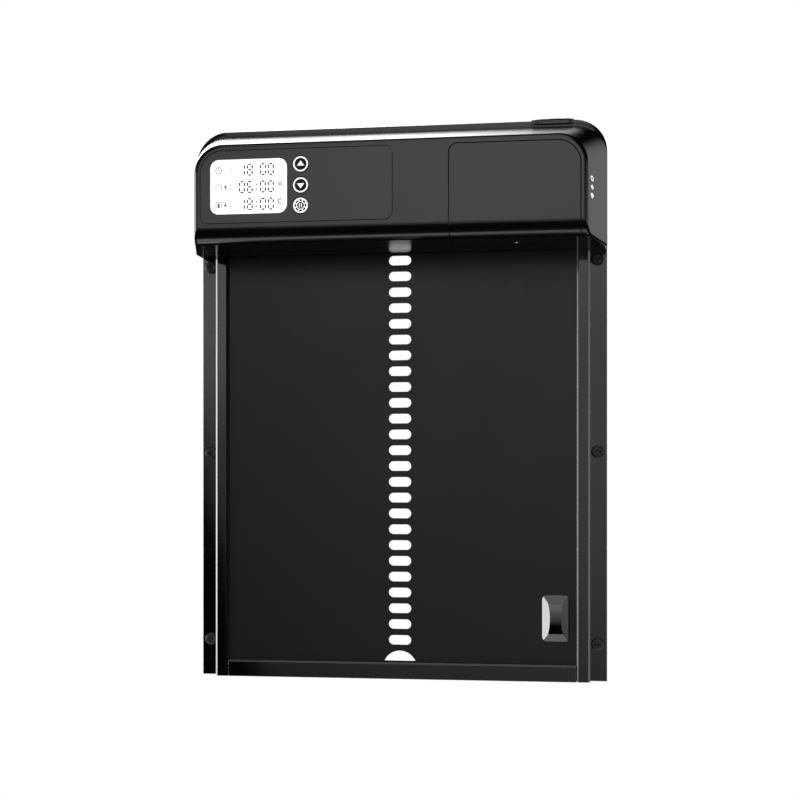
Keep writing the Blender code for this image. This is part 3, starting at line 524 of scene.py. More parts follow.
bar, BAR_STEPS = HANDLE_H / 2 - END_FACET, 14
stations = [bar * i / BAR_STEPS for i in range(-BAR_STEPS, BAR_STEPS + 1)]
for step in (0.3, 0.55, 0.72, 0.84, 0.92, 0.97, 0.995):
    stations += [bar + END_FACET * step, -bar - END_FACET * step]
stations.sort()
screw_bores = [rod("Y", (HANDLE_X, z), 1.6, -10.6, -6.0) for z in HANDLE_SCREWS]
piece("gloss_handle", loft([handle_ring(z) for z in stations]),
      coat("handle_gloss", (0.0015, 0.0015, 0.0015), 0.07, fineness=600.0, relief=0.003, patches=60.0,
           sheen=0.03, rubbed=0.06, ior=1.65, stretch=(1.0, 1.0, 0.08)),
      "door", "gloss_plastic", "door_handle", work=[(CUT, gathered(screw_bores))], edge=0.5, segments=3)
for i, z in enumerate(HANDLE_SCREWS):
    screw(f"handle_screw_{i + 1}", "Y", (HANDLE_X, DOOR_BACK_Y + 0.3, z), 1, (2.7, 1.5), (1.25, 5.3), "door")


# -------- drive
# A geared motor lies across the housing. Its steel shaft carries an eight-tooth nylon gear, whose teeth
# enter the door's slots through a window. A folded bracket and a bronze bush hold the shaft's far end.

GEAR_SLOT = 27
GEAR_Z = FIRST_SLOT + GEAR_SLOT * SLOT_PITCH
STRAP_Z = (GEAR_Z - 18.7, GEAR_Z + 18.9)
plated_steel = coat("plated_steel", (0.55, 0.55, 0.56), 0.28, metallic=1.0, fineness=1500.0, relief=0.01,
                    patches=30.0, sheen=0.16, rubbed=0.25, stretch=(0.05, 1.0, 1.0), edge_reach=0.2)
natural_nylon = coat("natural_nylon", (0.58, 0.56, 0.50), 0.42, fineness=1800.0, relief=0.02, patches=30.0,
                     sheen=0.12, rubbed=0.2, dusty=0.3)
dress("drive_gear", natural_nylon, 0.25)
for name in ("drive_shaft", "gear_head", "motor_can", "motor_bracket"):
    dress(name, plated_steel, 0.2)
dress("shaft_bush", coat("sintered_bronze", (0.42, 0.27, 0.11), 0.38, metallic=1.0, fineness=900.0,
                         relief=0.03, patches=80.0, sheen=0.14), 0.15)
for i, z in enumerate(STRAP_Z):
    screw(f"bracket_screw_{i + 1}", "Y", (0.0, -12.4, z), -1, (2.6, 1.6), (1.25, 4.0), "frame")


# -------- front housing
# The front shell is an injection moulding in satin black ABS, deeper at the top than a box would be: its
# roof and cheeks open out towards the wall, and its face rolls under into a flat underside.

FRONT_Y, PARTING_FRONT_Y, PARTING_REAR_Y = -65.0, -18.2, -17.0
UNDERSIDE_Z, FRONT_TOP_Z, PARTING_TOP_Z = 279.6, 340.6, 357.0
FRONT_HALF_W = 122.5
LOWER_CURVE, EDGE_FILLET = 10.0, 2.2
TOP_CORNER, LIP_CORNER, LOW_CORNER = 18.0, 21.0, 1.8
WALL, FRONT_WALL = 2.2, 2.6
COVER, COVER_BACK_Y = (38.4, 118.5, 270.0, 336.7), -33.0
PANEL, PANEL_RADII = (-118.5, 3.2, 291.5, 336.8), (5.0, 5.0, 5.0, 14.0)
RECESS_Y = -63.6
DISPLAY = (-112.0, -63.4, 297.4, 331.0)
BUTTON_X, BUTTON_Z = -54.3, {"up": 327.1, "down": 314.0, "set": 301.3}
BOARD_POSTS = ((-58.5, 333.6), (-58.5, 294.4), (-46.2, 333.6), (-46.2, 294.4))
CASE_BOSSES = [(side * x, z) for x, z in ((100.0, 286.3), (70.0, 347.8)) for side in (-1, 1)]
BOSS_HALF_W = 4.5
SEAM, COVER_SEAM = 0.35, 0.5

satin_abs = coat("satin_abs", (0.004, 0.004, 0.0042), 0.19, fineness=1500.0, relief=0.003, patches=8.0,
                 sheen=0.03, edge_reach=0.12, edge_colour=(0.05, 0.05, 0.05, 1.0), dusty=0.04, rubbed=0.04)


def case_ring(y, half_w, low, high, top_r, low_r):
    return [(x, y, z) for x, z in rounded(-half_w, half_w, low, high, (low_r, low_r, top_r, top_r), 16)]


def front_section(y, low, inset):
    t = (y - FRONT_Y) / (PARTING_FRONT_Y - FRONT_Y)
    half_w = FRONT_HALF_W + t * (HALF_W - FRONT_HALF_W) - inset
    high = FRONT_TOP_Z + t * (PARTING_TOP_Z - FRONT_TOP_Z) - inset
    top_r = TOP_CORNER + t * (LIP_CORNER - TOP_CORNER) - inset
    return case_ring(y, half_w, low, high, top_r, LOW_CORNER - min(inset, 1.0))


def front_skin(wall, front_wall, back_y):
    """The front shell's outer form, or with a wall thickness the form of the hollow inside it."""
    centre_y, centre_z = FRONT_Y + LOWER_CURVE, UNDERSIDE_Z + LOWER_CURVE
    roll = LOWER_CURVE - front_wall
    levels = [centre_y - roll * math.cos(math.radians(a)) for a in range(0, 91, 6)]
    if not wall:
        levels += [FRONT_Y + EDGE_FILLET * (1 - math.cos(math.radians(a))) for a in range(12, 91, 12)]
    rings = []
    for y in sorted(levels):
        low = centre_z - (LOWER_CURVE - wall) * math.sqrt(max(0.0, 1 - ((centre_y - y) / roll) ** 2))
        depth = max(0.0, EDGE_FILLET - (y - FRONT_Y))
        fillet = EDGE_FILLET - math.sqrt(EDGE_FILLET ** 2 - depth ** 2)
        rings.append(front_section(y, low, wall + fillet))
    rings.append(front_section(back_y, UNDERSIDE_Z + wall, wall))
    return loft(rings)


def cover_outline(by):
    return rounded(*grown(COVER, by), (1.0, 1.0, 14.0 + by, 5.0 + by), 14)


def panel_outline(by):
    return rounded(*grown(PANEL, by), [r + by for r in PANEL_RADII], 12)


bosses = [turned("Y", at, [(2.0, -62.7), (2.0, -56.3), (1.0, -56.2), (1.0, -53.6)]) for at in BOARD_POSTS]
bosses += [block((x - BOSS_HALF_W, x + BOSS_HALF_W), (-32.0, -18.3), (z - 4.8, z + 3.2))
           for x, z in CASE_BOSSES]
openings = [prism(cover_outline(COVER_SEAM), "Y", -70.0, COVER_BACK_Y + SEAM),
            prism(panel_outline(SEAM), "Y", -70.0, RECESS_Y),
            slab(grown(DISPLAY, 2.5), (2.0,) * 4, -66.0, -60.0),
            gathered([rod("Y", (BUTTON_X, z), 2.6, -66.0, -60.0) for z in BUTTON_Z.values()]
                     + [rod("Y", at, 1.8, -30.0, -16.0) for at in CASE_BOSSES])]
piece("moulded_front_case", front_skin(0.0, 0.0, PARTING_FRONT_Y), satin_abs, "frame", "case_plastic",
      "front_case",
      work=[(CUT, front_skin(WALL, FRONT_WALL, PARTING_FRONT_Y + 3.0)), (JOIN, gathered(bosses))]
      + [(CUT, opening) for opening in openings], edge=0.16)


# -------- rear housing
# The rear shell closes the housing towards the wall and ends in a raised lip all round. It steps back over
# the rails, leaves room for the door between them, and has a window for the gear.

LIP_Z, LIP_TOP_Z, LIP_Y = 361.4, 363.0, (-15.2, -10.0)
RAIL_CLEAR_Y, CASE_BACK_Y, EAR_X, EAR_BACK_Y = -10.4, -8.0, 124.4, -2.3
PORT_X, PORT_Y = 102.0, -13.0


def rear_ring(y, high, inset=0.0):
    return case_ring(y, HALF_W - inset, UNDERSIDE_Z + inset, high - inset, LIP_CORNER - inset,
                     LOW_CORNER - min(inset, 1.0))


rear_form = loft([rear_ring(PARTING_REAR_Y, PARTING_TOP_Z), rear_ring(LIP_Y[0], LIP_Z),
                  rear_ring(LIP_Y[1], LIP_TOP_Z), rear_ring(EAR_BACK_Y, LIP_TOP_Z)])
rear_hollow = loft([rear_ring(-19.0, PARTING_TOP_Z, WALL), rear_ring(PARTING_REAR_Y, PARTING_TOP_Z, WALL),
                    rear_ring(LIP_Y[0], LIP_Z, WALL), rear_ring(-12.4, LIP_TOP_Z, WALL + 0.8)])
work = [(CUT, rear_hollow),
        (CUT, block((-EAR_X, EAR_X), (RAIL_CLEAR_Y, 0.0), (270.0, 370.0))),
        (JOIN, block((-114.8, 114.8), (RAIL_CLEAR_Y - 1.0, CASE_BACK_Y), (UNDERSIDE_Z + 2.0, 358.0))),
        (CUT, block((-112.0, 112.0), (-14.0, CASE_BACK_Y - WALL), (UNDERSIDE_Z + 5.0, 355.0))),
        (CUT, block((-8.4, 8.4), (-14.0, -6.0), (GEAR_Z - 14.9, GEAR_Z + 14.9))),
        (JOIN, gathered([block((x - BOSS_HALF_W, x + BOSS_HALF_W), (-16.8, -9.0), (z - 4.3, z + 4.3))
                         for x, z in CASE_BOSSES]))]
bored = [turned("Y", at, [(1.8, -18.0), (1.8, -11.2), (3.2, -11.1), (3.2, -7.0)]) for at in CASE_BOSSES]
bored += [rod("Y", (0.0, z), 1.6, -14.0, -6.0) for z in STRAP_Z]
bored += [block((PORT_X - 5.4, PORT_X + 5.4), (PORT_Y - 2.5, PORT_Y + 1.9), (352.0, 370.0))]
for side in (-1, 1):
    bored += [rod("Y", (side * HOUSING_SCREW_X, z), 1.8, -10.0, 0.0) for z in HOUSING_SCREW_Z]
    bored += [block(sorted((side * 126.6, side * 132.6)), (-14.0, -4.6), (298.0, 327.0))]
piece("moulded_rear_case", rear_form, satin_abs, "frame", "case_plastic", "rear_case",
      work=work + [(CUT, gathered(bored))], edge=0.3)


# -------- housing seal and screws
# A rubber gasket lies between the two shells, set back from their rims, so it reads as a black line.
# Four screws in counterbores clamp the shells together from behind.

piece("shell_gasket", loft([rear_ring(y, PARTING_TOP_Z, 0.5) for y in (-17.9, -17.3)]), soft_rubber, "frame",
      "rubber", "case_seal", work=[(CUT, loft([rear_ring(y, PARTING_TOP_Z, 2.2) for y in (-19.0, -16.0)]))])
for i, (x, z) in enumerate(CASE_BOSSES):
    screw(f"case_screw_{i + 1}", "Y", (x, -10.8, z), 1, (2.8, 1.7), (1.45, 17.0), "frame")


# -------- control panel
# The control panel is a thin black acrylic overlay, glued into a shallow recess in the face. It has a
# window for the display and three holes for the keys.

piece("acrylic_overlay", prism(panel_outline(0.0), "Y", FRONT_Y, -63.9),
      coat("acrylic_black", (0.004, 0.004, 0.0042), 0.15, fineness=700.0, relief=0.002, patches=14.0,
           sheen=0.03, edge_reach=0.1, edge_colour=(0.05, 0.05, 0.05, 1.0), dusty=0.04, rubbed=0.05),
      "frame", "gloss_plastic", "control_panel", edge=0.12,
      work=[(CUT, slab(grown(DISPLAY, SEAM), (5.5,) * 4, -66.0, -62.0)),
            (CUT, gathered([rod("Y", (BUTTON_X, z), 5.3, -66.0, -62.0, 64) for z in BUTTON_Z.values()]))])


# -------- display
# The display is a backlit white panel under a clear face. Its dark segments show three rows of times: the
# clock, the hour when the door opens and the hour when it closes, each with a small sign beside it.

DISPLAY_FACE_Y = -64.8
INK_RISE = 0.05
ROW_PITCH = 10.8
DIGIT_W, DIGIT_H, STROKE, CORNER_GAP = 3.9, 7.5, 0.82, 0.14
DIGIT_X = (20.2, 25.2, 33.7, 38.7)
SEGMENTS = {"0": "abcdef", "1": "bc", "6": "acdefg", "8": "abcdefg"}
ROWS = (("18", "00", False), ("06", "00", True), ("18", "00", True))

INK = {"fineness": 900.0, "relief": 0.002, "patches": 90.0, "sheen": 0.05}
backlit = coat("backlit_white", (0.80, 0.81, 0.81), 0.25, fineness=900.0, relief=0.002, patches=60.0,
               sheen=0.04, shift=0.01, glow=1.05)
segment_ink = coat("segment_ink", (0.012, 0.013, 0.014), 0.4, shift=0.15, **INK)
sign_ink = coat("sign_ink", (0.28, 0.29, 0.30), 0.4, **INK)
piece("display_panel", slab(DISPLAY, (5.3,) * 4, DISPLAY_FACE_Y, -63.0, 14), backlit, "frame",
      "display_white", "display_module", edge=0.1,
      work=[(JOIN, slab(grown(DISPLAY, 2.2), (1.8,) * 4, -63.6, -58.0))])


def ink(outline, front=DISPLAY_FACE_Y, rise=INK_RISE):
    """A thin raised print on a face that looks to the front."""
    return prism(outline, "Y", front - rise, front + 0.02)


def block_print(x0, x1, z0, z1):
    return ink([(x0, z0), (x1, z0), (x1, z1), (x0, z1)])


def bar_print(x0, x1, z0, z1):
    """A stroke with blunt pointed ends, as display segments have."""
    point = 0.3 * min(x1 - x0, z1 - z0)
    if x1 - x0 > z1 - z0:
        z = (z0 + z1) / 2
        points = [(x0, z), (x0 + point, z0), (x1 - point, z0), (x1, z), (x1 - point, z1), (x0 + point, z1)]
    else:
        x = (x0 + x1) / 2
        points = [(x, z0), (x1, z0 + point), (x1, z1 - point), (x, z1), (x0, z1 - point), (x0, z0 + point)]
    return ink(points)


def digit(figure, x, z):
    """One seven-segment figure, whose strokes stop short of its corners."""
    left, right, low, high = x - DIGIT_W / 2, x + DIGIT_W / 2, z - DIGIT_H / 2, z + DIGIT_H / 2
    across = (left + STROKE + CORNER_GAP * 0.6, right - STROKE - CORNER_GAP * 0.6)
    upper = (z + STROKE / 2 + CORNER_GAP, high - STROKE - CORNER_GAP * 0.4)
    lower = (low + STROKE + CORNER_GAP * 0.4, z - STROKE / 2 - CORNER_GAP)
    strokes = {"a": (*across, high - STROKE, high), "g": (*across, z - STROKE / 2, z + STROKE / 2),
               "d": (*across, low, low + STROKE), "f": (left, left + STROKE, *upper),
               "b": (right - STROKE, right, *upper), "e": (left, left + STROKE, *lower),
               "c": (right - STROKE, right, *lower)}
    return [bar_print(*strokes[name]) for name in SEGMENTS[figure]]


def ring_print(x, z, outer, inner, sides=48, start=0.0, sweep=360.0, **where):
    """Part of a printed ring, as one closed outline."""
    turns = [math.radians(start + sweep * i / sides) for i in range(sides + 1)]
    if sweep < 360.0:
        points = [(x + outer * math.cos(a), z + outer * math.sin(a)) for a in turns]
        points += [(x + inner * math.cos(a), z + inner * math.sin(a)) for a in reversed(turns)]
        return [ink(points, **where)]
    half = sides // 2
    return [shape for first in (0.0, 180.0)
            for shape in ring_print(x, z, outer, inner, half, start + first, 179.99, **where)]


middle_z = (DISPLAY[2] + DISPLAY[3]) / 2
SIGN_X, SIGN_STROKE, DOOR_SIGN_W, DOOR_SIGN_H, DAY_SIGN_X = DISPLAY[0] + 5.2, 0.4, 1.9, 2.0, DISPLAY[0] + 44.6
COLON_X, SIGN_COLON_X, ARROW_X = DISPLAY[0] + 29.5, SIGN_X + 7.6, SIGN_X + 4.4
figures, signs = [], []
for row, (hours, minutes, colon) in enumerate(ROWS):
    z = middle_z + (1 - row) * ROW_PITCH - 0.4
    for figure, offset in zip(hours + minutes, DIGIT_X):
        figures += digit(figure, DISPLAY[0] + offset, z)
    if colon:
        figures += [ink(circle((COLON_X, z + up), 0.42, 16)) for up in (-1.5, 1.5)]
    signs += [ink(circle((SIGN_COLON_X, z + up), 0.36, 16)) for up in (-1.2, 1.2)]
    if row == 0:
        signs += ring_print(SIGN_X, z, 2.1, 1.7)
        signs += [block_print(SIGN_X - 0.18, SIGN_X + 0.18, z - 0.15, z + 1.3),
                  block_print(SIGN_X, SIGN_X + 1.1, z - 0.15, z + 0.2)]
    else:
        way = 1 if row == 1 else -1
        jamb, low, high = DOOR_SIGN_W - SIGN_STROKE, z - DOOR_SIGN_H, z + DOOR_SIGN_H
        signs += [block_print(SIGN_X + x, SIGN_X + x + SIGN_STROKE, low, high) for x in (-DOOR_SIGN_W, jamb)]
        signs.append(block_print(SIGN_X - jamb, SIGN_X + jamb, high - SIGN_STROKE, high))
        if row == 2:
            signs.append(block_print(SIGN_X - 0.7, SIGN_X + 0.7, low, z + 0.9))
        signs.append(ink([(ARROW_X - 1.2, z), (ARROW_X + 1.2, z), (ARROW_X, z + way * 1.7)]))
        signs.append(block_print(ARROW_X - 0.3, ARROW_X + 0.3, z - way * 1.7, z))
sun_z = middle_z + 1.0
signs += ring_print(DAY_SIGN_X, sun_z, 0.95, 0.5, 32)
for i in range(8):
    turn = math.radians(45 * i)
    out, across = Vector((math.cos(turn), math.sin(turn))), Vector((-math.sin(turn), math.cos(turn)))
    corners = [out * reach + across * offset
               for reach, offset in ((1.1, -0.17), (1.1, 0.17), (1.7, 0.17), (1.7, -0.17))]
    signs.append(ink([(DAY_SIGN_X + c.x, sun_z + c.y) for c in corners]))
signs += ring_print(DAY_SIGN_X, sun_z - ROW_PITCH, 1.6, 1.0, 30, 50.0, 260.0)
piece("display_figures", gathered(figures), segment_ink, "frame", "gloss_plastic")
piece("display_signs", gathered(signs), sign_ink, "frame", "gloss_plastic")


# -------- keys
# Three gloss black keys stand just proud of the panel. Each has a printed white ring with a painted glow:
# the first two carry a triangle for up and down, the third a plain gear wheel for setting the hours.

KEY_RADIUS, KEY_TOP_Y = 5.0, -65.25
RING_INNER = 3.75
SLOT_RING, EYE_RING = 2.72, 2.15
key_gloss = coat("key_gloss", (0.0015, 0.0015, 0.0015), 0.12, fineness=700.0, relief=0.003, patches=120.0,
                 sheen=0.04, rubbed=0.05, ior=1.22)
# The white print for the keys and cheek marks is given a painted glow through its emission.
white_print_painted_glow = coat("white_print_painted_glow", (0.80, 0.80, 0.80), 0.35, fineness=1200.0, relief=0.002, patches=200.0,
                 sheen=0.05, shift=0.02, glow=0.8)
for label, z in BUTTON_Z.items():
    body = f"{label}_key"
    profile = [(4.2, KEY_TOP_Y), (4.8, KEY_TOP_Y + 0.03), (4.93, KEY_TOP_Y + 0.1),
               (KEY_RADIUS, KEY_TOP_Y + 0.26), (KEY_RADIUS, -64.4), (2.2, -64.4), (2.2, -62.1), (3.4, -62.1),
               (3.4, -61.4), (2.2, -61.0), (2.2, -58.4)]
    dish = turned("Y", (BUTTON_X, z), [(RING_INNER, -66.0), (RING_INNER, KEY_TOP_Y + 0.02),
                                       (2.4, KEY_TOP_Y + 0.14), (0.3, KEY_TOP_Y + 0.18)], 64)
    piece(f"{label}_key_cap", turned("Y", (BUTTON_X, z), profile, 64), key_gloss, body, "gloss_plastic",
          f"button_{label}", work=[(CUT, dish)] if label != "set" else [])
    top = {"front": KEY_TOP_Y, "rise": 0.045}
    low = {"front": KEY_TOP_Y + 0.14, "rise": 0.06}
    prints = ring_print(BUTTON_X, z, 4.75, RING_INNER, 64, **top)
    if label == "set":
        prints += ring_print(BUTTON_X, z, SLOT_RING, EYE_RING, 48, **top)
        for i in range(8):
            prints += ring_print(BUTTON_X, z, RING_INNER + 0.02, SLOT_RING - 0.02, 8, 45 * i + 15.5, 14.0,
                                 **top)
        for side in (-1, 1):
            prints.append(ink(rounded(*sorted((BUTTON_X + side * 0.3, BUTTON_X + side * 1.0)), z - 1.3,
                                      z + 1.3, (0.2,) * 4, 4), **top))
    else:
        way = 1 if label == "up" else -1
        prints.append(ink([(BUTTON_X - 2.4, z - way * 1.05), (BUTTON_X + 2.4, z - way * 1.05),
                           (BUTTON_X, z + way * 2.2)], **low))
    piece(f"{label}_white_print_painted_glow", gathered(prints), white_print_painted_glow, body, "display_white")


# -------- circuit board
# The board stands on four posts behind the panel. It carries the key switches, the controller, the lead's
# socket and the clock's back-up cell.

dress("main_board", coat("solder_mask", (0.012, 0.11, 0.045), 0.32, fineness=500.0, relief=0.02,
                         patches=160.0, sheen=0.12, shift=0.3), 0.1)
lead_sheath = coat("lead_sheath", (0.020, 0.020, 0.021), 0.5, fineness=1600.0, relief=0.02, patches=70.0,
                   sheen=0.1, dusty=0.2)
for name in ("battery_lead", "motor_lead"):
    dress(name, lead_sheath)


# -------- battery bay
# Four AA cells stand side by side in a moulded tray, alternately up and down, between two sprung contact
# plates. A rubber seal runs round the bay behind the cover.

BAY_X, CELL_PITCH, CELL_Y, CELL_RADIUS = 78.4, 15.5, -50.4, 7.1
CELL_LOW, CELL_HIGH, TRAY_TOP, COVER_SCREW_Y = 285.7, 334.9, 338.0, -38.0
TRAY_X, BAY = (BAY_X - 37.2, BAY_X + 37.2), (BAY_X - 33.4, BAY_X + 33.4, 284.9, 336.7)
tray_side = [(-60.6, TRAY_TOP), (-60.6, 291.0), (-57.2, 284.6), (-55.0, 283.2), (-41.4, 283.2),
             (-41.4, TRAY_TOP)]
piece("moulded_tray", prism(tray_side, "X", *TRAY_X),
      coat("tray_abs", (0.014, 0.014, 0.0145), 0.5, fineness=1300.0, relief=0.03, patches=20.0, sheen=0.1,
           dusty=0.1),
      "frame", "case_plastic", "battery_tray", edge=0.15,
      work=[(KEEP, slab((*TRAY_X, 280.0, TRAY_TOP), (1.0, 1.0, 9.0, 1.0), -70.0, -30.0)),
            (CUT, slab(BAY, (0.5, 0.5, 5.0, 0.5), -64.0, -43.0)),
            (JOIN, block((BAY_X - 4.5, BAY_X + 4.5), (-42.0, -34.2), (283.2, 292.0))),
            (CUT, rod("Z", (BAY_X, COVER_SCREW_Y), 1.7, 280.0, 290.4))])
seal_rect = (BAY_X - 36.6, BAY_X + 36.6, 291.5, 337.6)
piece("bay_seal", slab(seal_rect, (1.0, 1.0, 14.0, 1.0), -62.1, -61.0), soft_rubber, "frame",
      "rubber", "battery_cover_seal", edge=0.2,
      work=[(CUT, slab(grown(seal_rect, -2.4), (1.0, 1.0, 11.6, 1.0), -64.0, -60.0))])
cell_sleeve = coat("cell_sleeve", (0.055, 0.070, 0.090), 0.24, fineness=900.0, relief=0.006, patches=60.0,
                   sheen=0.1, shift=0.2, rubbed=0.2)
cell_steel = coat("cell_steel", (0.60, 0.60, 0.58), 0.22, metallic=1.0, fineness=1500.0, relief=0.008,
                  patches=90.0, sheen=0.12, rubbed=0.3, stretch=(1.0, 1.0, 0.05))
for i in range(4):
    centre = (BAY_X + (i - 1.5) * CELL_PITCH, CELL_Y)
    sleeve = [(6.4, CELL_LOW + 0.25), (6.9, CELL_LOW + 0.3), (CELL_RADIUS, CELL_LOW + 0.7),
              (CELL_RADIUS, CELL_HIGH - 1.0), (6.8, CELL_HIGH - 0.35), (6.0, CELL_HIGH - 0.3)]
    button = [(6.1, CELL_LOW), (6.1, CELL_LOW + 0.6), (6.0, CELL_HIGH - 0.6), (5.9, CELL_HIGH - 0.1),
              (3.4, CELL_HIGH), (2.7, CELL_HIGH + 0.1), (2.6, CELL_HIGH + 0.9), (2.3, CELL_HIGH + 1.0)]
    if i % 2:
        ends = CELL_LOW + CELL_HIGH + 1.0
        sleeve, button = ([(r, ends - level) for r, level in profile] for profile in (sleeve, button))
    piece(f"cell_can_{i + 1}", turned("Z", centre, button), cell_steel, "frame", "bright_steel",
          f"battery_cell_{i + 1}")
    piece(f"cell_sleeve_{i + 1}", turned("Z", centre, sleeve), cell_sleeve, "frame", "cell_sleeve",
          f"battery_cell_{i + 1}")
for name in ("contact_plate_top", "contact_plate_bottom"):
    dress(name, plated_steel)


# -------- battery cover
# The cover is cut from the same form as the front shell and slides down off the bay. One screw through
# its foot, out of sight on the underside, locks it.

skin = front_skin(0.0, 0.0, PARTING_FRONT_Y)
screw_hole = turned("Z", (BAY_X, COVER_SCREW_Y), [(2.9, 275.0), (2.9, 281.0), (1.6, 281.0), (1.6, 290.0)])
piece("moulded_battery_cover", skin, satin_abs, "cover", "case_plastic", "battery_cover", edge=0.16,
      work=[(CUT, front_skin(WALL, FRONT_WALL, PARTING_FRONT_Y + 3.0)),
            (KEEP, prism(cover_outline(0.0), "Y", -70.0, COVER_BACK_Y)), (CUT, screw_hole)])
screw("battery_cover_screw", "Z", (BAY_X, COVER_SCREW_Y, 280.75), -1, (2.6, 1.1), (1.25, 8.0), "cover",
      steel=zinc_steel)


# -------- cheek marks
# Three small white marks are pad printed on the right cheek, near the face. They are plain signs: a ring,
# a diamond and a drop. Their white carries a painted glow.

CHEEK_SLOPE = (HALF_W - FRONT_HALF_W) / (PARTING_FRONT_Y - FRONT_Y)
MARK_Y, MARK_Z = -54.0, (315.0, 309.7, 304.4)


def cheek_print(outline):
    """A thin print on the sloping cheek, from pairs of Y and Z."""
    return loft([[(FRONT_HALF_W + CHEEK_SLOPE * (y - FRONT_Y) + rise, y, z) for y, z in outline]
                 for rise in (-0.02, 0.045)])


marks = []
for first in (0, 180):
    turns = [math.radians(first + 9 * i) for i in range(21)]
    marks.append(cheek_print([(MARK_Y + 3.6 * math.cos(a), MARK_Z[0] + 1.6 * math.sin(a)) for a in turns]
                             + [(MARK_Y + 1.7 * math.cos(a), MARK_Z[0] + 0.7 * math.sin(a))
                                for a in reversed(turns)]))
marks.append(cheek_print([(MARK_Y - 3.6, MARK_Z[1]), (MARK_Y, MARK_Z[1] - 1.6), (MARK_Y + 3.6, MARK_Z[1]),
                          (MARK_Y, MARK_Z[1] + 1.6)]))
marks.append(cheek_print([(MARK_Y + 3.0 * math.sin(math.radians(a)) * (1 - 0.45 * math.cos(math.radians(a))),
                           MARK_Z[2] - 1.6 * math.cos(math.radians(a))) for a in range(0, 360, 15)]))
piece("cheek_marks", gathered(marks), white_print_painted_glow, "frame", "display_white")


# -------- charging port
# A charging socket sits under the lip. A soft rubber cap, tapered at both ends, lies over it and plugs
# into it by a stub.

dress("charging_port", plated_steel, 0.1)
CAP_SEAT = ((-16.75, 358.9), (-15.5, 361.7), (-10.0, 363.3), (-8.8, 363.3))
CAP_THIN = ((-8.8, 363.45), (-9.2, 363.5), (-10.2, 363.5), (-15.7, 361.95), (-16.2, 360.8), (-16.9, 358.95))
CAP_FULL = ((-8.8, 363.75), (-9.2, 363.95), (-10.2, 363.95), (-16.2, 362.3), (-17.0, 361.2), (-17.2, 359.1))
CAP_X, CAP_TAPERS, CAP_STEPS = (86.8, 113.8), (6.7, 4.0), 8


def cap_ring(x):
    """A section of the cap over the lip, from its thin ends to its full middle."""
    along = min(1.0, (x - CAP_X[0]) / CAP_TAPERS[0], (CAP_X[1] - x) / CAP_TAPERS[1])
    share = along * along * (3 - 2 * along)
    outer = [(a + share * (c - a), b + share * (d - b)) for (a, b), (c, d) in zip(CAP_THIN, CAP_FULL)]
    return [(x, y, z) for y, z in [*CAP_SEAT, *outer]]


cap_stations = [CAP_X[0] + CAP_TAPERS[0] * i / CAP_STEPS for i in range(CAP_STEPS + 1)]
cap_stations += [CAP_X[1] - CAP_TAPERS[1] * i / CAP_STEPS for i in range(CAP_STEPS, -1, -1)]
piece("port_cap", loft([cap_ring(x) for x in cap_stations]),
      coat("cap_rubber", (0.010, 0.010, 0.0102), 0.26, fineness=2600.0, relief=0.02, patches=60.0, sheen=0.08,
           dusty=0.08),
      "plug", "rubber", "port_plug", edge=0.12,
      work=[(JOIN, block((PORT_X - 3.6, PORT_X + 3.6), (PORT_Y - 1.2, PORT_Y + 0.8), (353.0, 363.0)))])


# -------- studio
# A pale floor and a plain white surround. Soft boxes stand left, right, above and behind, so the black
# gloss takes long clean highlights. The camera stands level and lower than the housing.

WHITE = 1.0
FLOOR_HALF, FLOOR_DEPTH, FLOOR_Y, FLOOR_DROP, FLOOR_GLOW = 0.26, 0.16, 0.045, 0.06, 1.3

# Each box: its direction, half its spread and the softness of its edge in degrees, and its strength.
FRONT_BOXES = (((0.0, -1.0, 0.3), 17, 17, 1.15),
               ((-0.06, -1.0, 0.3), 7.5, 4.5, 0.55),
               ((-0.3, -1.0, 0.15), 4, 2.5, 0.8))
SIDE_BOXES = (((-1.0, 0.05, 0.0), 16, 4, 9.5), ((1.0, 0.1, 0.0), 12, 6, 2.4),
              ((-0.87, -0.5, 0.0), 9, 5, 6.0), ((0.87, -0.5, 0.0), 9, 5, 2.4),
              ((-0.38, 0.87, 0.42), 15, 7, 4.5), ((-0.02, 0.91, 0.43), 7, 4, 0.9),
              ((0.48, 0.85, 0.22), 12, 8, 0.48), ((0.0, -0.5, 0.86), 17, 7, 1.4),
              ((0.0, 0.98, -0.18), 13, 3, 0.7), ((-0.72, -0.7, 0.03), 8, 7, 1.4))
FLAG_X, FLAG_SLOPE, FLAG_EDGE = 0.2857, 3.4, 0.0149


def light_panel(tree, ray, direction, half_angle, softness, strength):
    """One soft box of the surround, by the direction in which it stands and how far it spreads."""
    towards = Vector(direction).normalized()
    facing = node(tree, "VectorMath", {"operation": "DOT_PRODUCT"}, i0=ray, i1=tuple(towards))
    low = math.cos(math.radians(half_angle + softness))
    high = math.cos(math.radians(max(0.5, half_angle - softness)))
    return span(tree, facing.outputs["Value"], low, high, 0.0, strength)


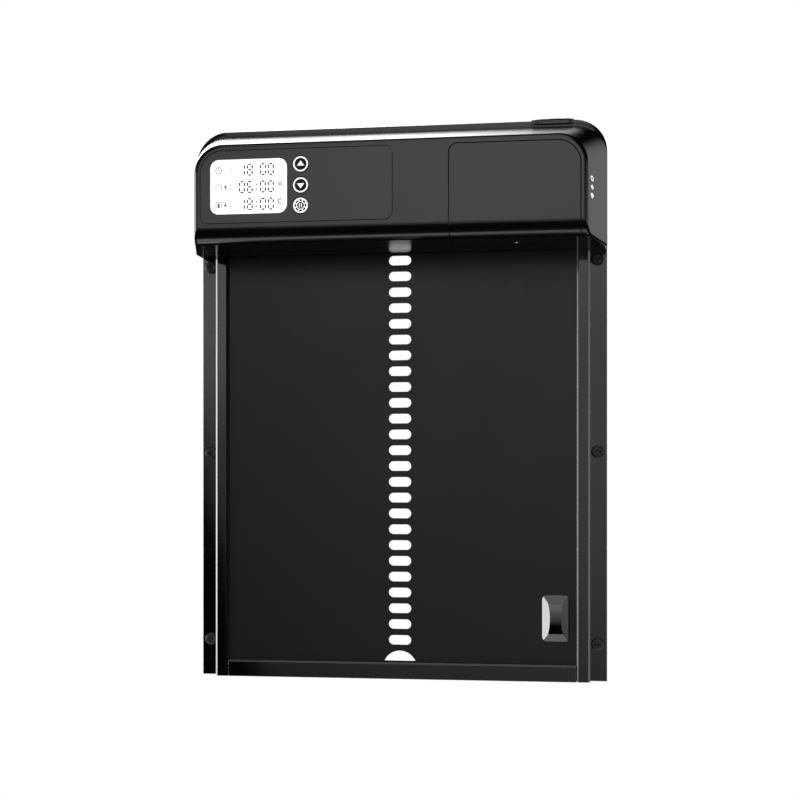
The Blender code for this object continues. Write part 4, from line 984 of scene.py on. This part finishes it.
world = bpy.data.worlds.new("studio")
bpy.context.scene.world = world
world.use_nodes = True
tree = world.node_tree
tree.nodes.clear()
ray = node(tree, "TexCoord").outputs["Generated"]
parts = node(tree, "SeparateXYZ", Vector=ray).outputs
away = maths(tree, "MAXIMUM", maths(tree, "MULTIPLY", parts["Y"], -1.0), 0.05)
across = maths(tree, "DIVIDE", parts["X"], away)
upward = maths(tree, "DIVIDE", parts["Z"], away)
slant = maths(tree, "MULTIPLY", maths(tree, "ADD", across, FLAG_X), FLAG_SLOPE)
flag = span(tree, maths(tree, "ADD", upward, slant), FLAG_EDGE - 0.004, FLAG_EDGE + 0.004)
front = light_panel(tree, ray, *FRONT_BOXES[0])
for box in FRONT_BOXES[1:]:
    front = maths(tree, "ADD", front, light_panel(tree, ray, *box))
total = maths(tree, "MULTIPLY", front, flag)
for box in SIDE_BOXES:
    total = maths(tree, "ADD", total, light_panel(tree, ray, *box))
eye = node(tree, "LightPath").outputs["Is Camera Ray"]
seen = node(tree, "Background", Color=(WHITE, WHITE, WHITE, 1.0), Strength=1.0)
lit = node(tree, "Background", Color=(1.0, 1.0, 1.0, 1.0), Strength=total)
both = node(tree, "MixShader", i0=eye, i1=lit.outputs[0], i2=seen.outputs[0])
node(tree, "OutputWorld", Surface=both.outputs[0])

floor_shape = bmesh.new()
bmesh.ops.create_grid(floor_shape, x_segments=24, y_segments=24, size=1.0)
floor_mesh = bpy.data.meshes.new("floor")
floor_shape.to_mesh(floor_mesh)
floor_shape.free()
floor = bpy.data.objects.new("floor", floor_mesh)
bpy.context.scene.collection.objects.link(floor)
floor.scale = (FLOOR_HALF, FLOOR_DEPTH, 1.0)
floor.location = (0.0, FLOOR_Y, FOOT - FLOOR_DROP)
pale = bpy.data.materials.new("pale_floor")
pale.use_nodes = True
tree = pale.node_tree
pale_shader = tree.nodes["Principled BSDF"]
for label, value in (("Base Color", (0.80, 0.80, 0.79, 1.0)), ("Roughness", 0.6),
                     ("Emission Color", (WHITE, WHITE, WHITE, 1.0)), ("Emission Strength", FLOOR_GLOW)):
    pale_shader.inputs[label].default_value = value
pale_glow = node(tree, "Emission", Color=(WHITE, WHITE, WHITE, 1.0), Strength=1.0)
pale_mix = node(tree, "MixShader", i0=node(tree, "LightPath").outputs["Is Camera Ray"],
                i1=pale_shader.outputs[0], i2=pale_glow.outputs[0])
tree.links.new(pale_mix.outputs[0], tree.nodes["Material Output"].inputs["Surface"])
floor_mesh.materials.append(pale)

camera_data = bpy.data.cameras.new("camera")
camera = bpy.data.objects.new("camera", camera_data)
bpy.context.scene.collection.objects.link(camera)
camera.location = (0.125942, -0.913872, 0.120568)
camera.rotation_euler = (math.radians(90.0), 0.0, math.radians(7.9007))
camera_data.sensor_width = 36.0
camera_data.lens = 62.6
camera_data.shift_y = 0.10875
bpy.context.scene.camera = camera
bpy.context.scene.view_settings.view_transform = "Standard"
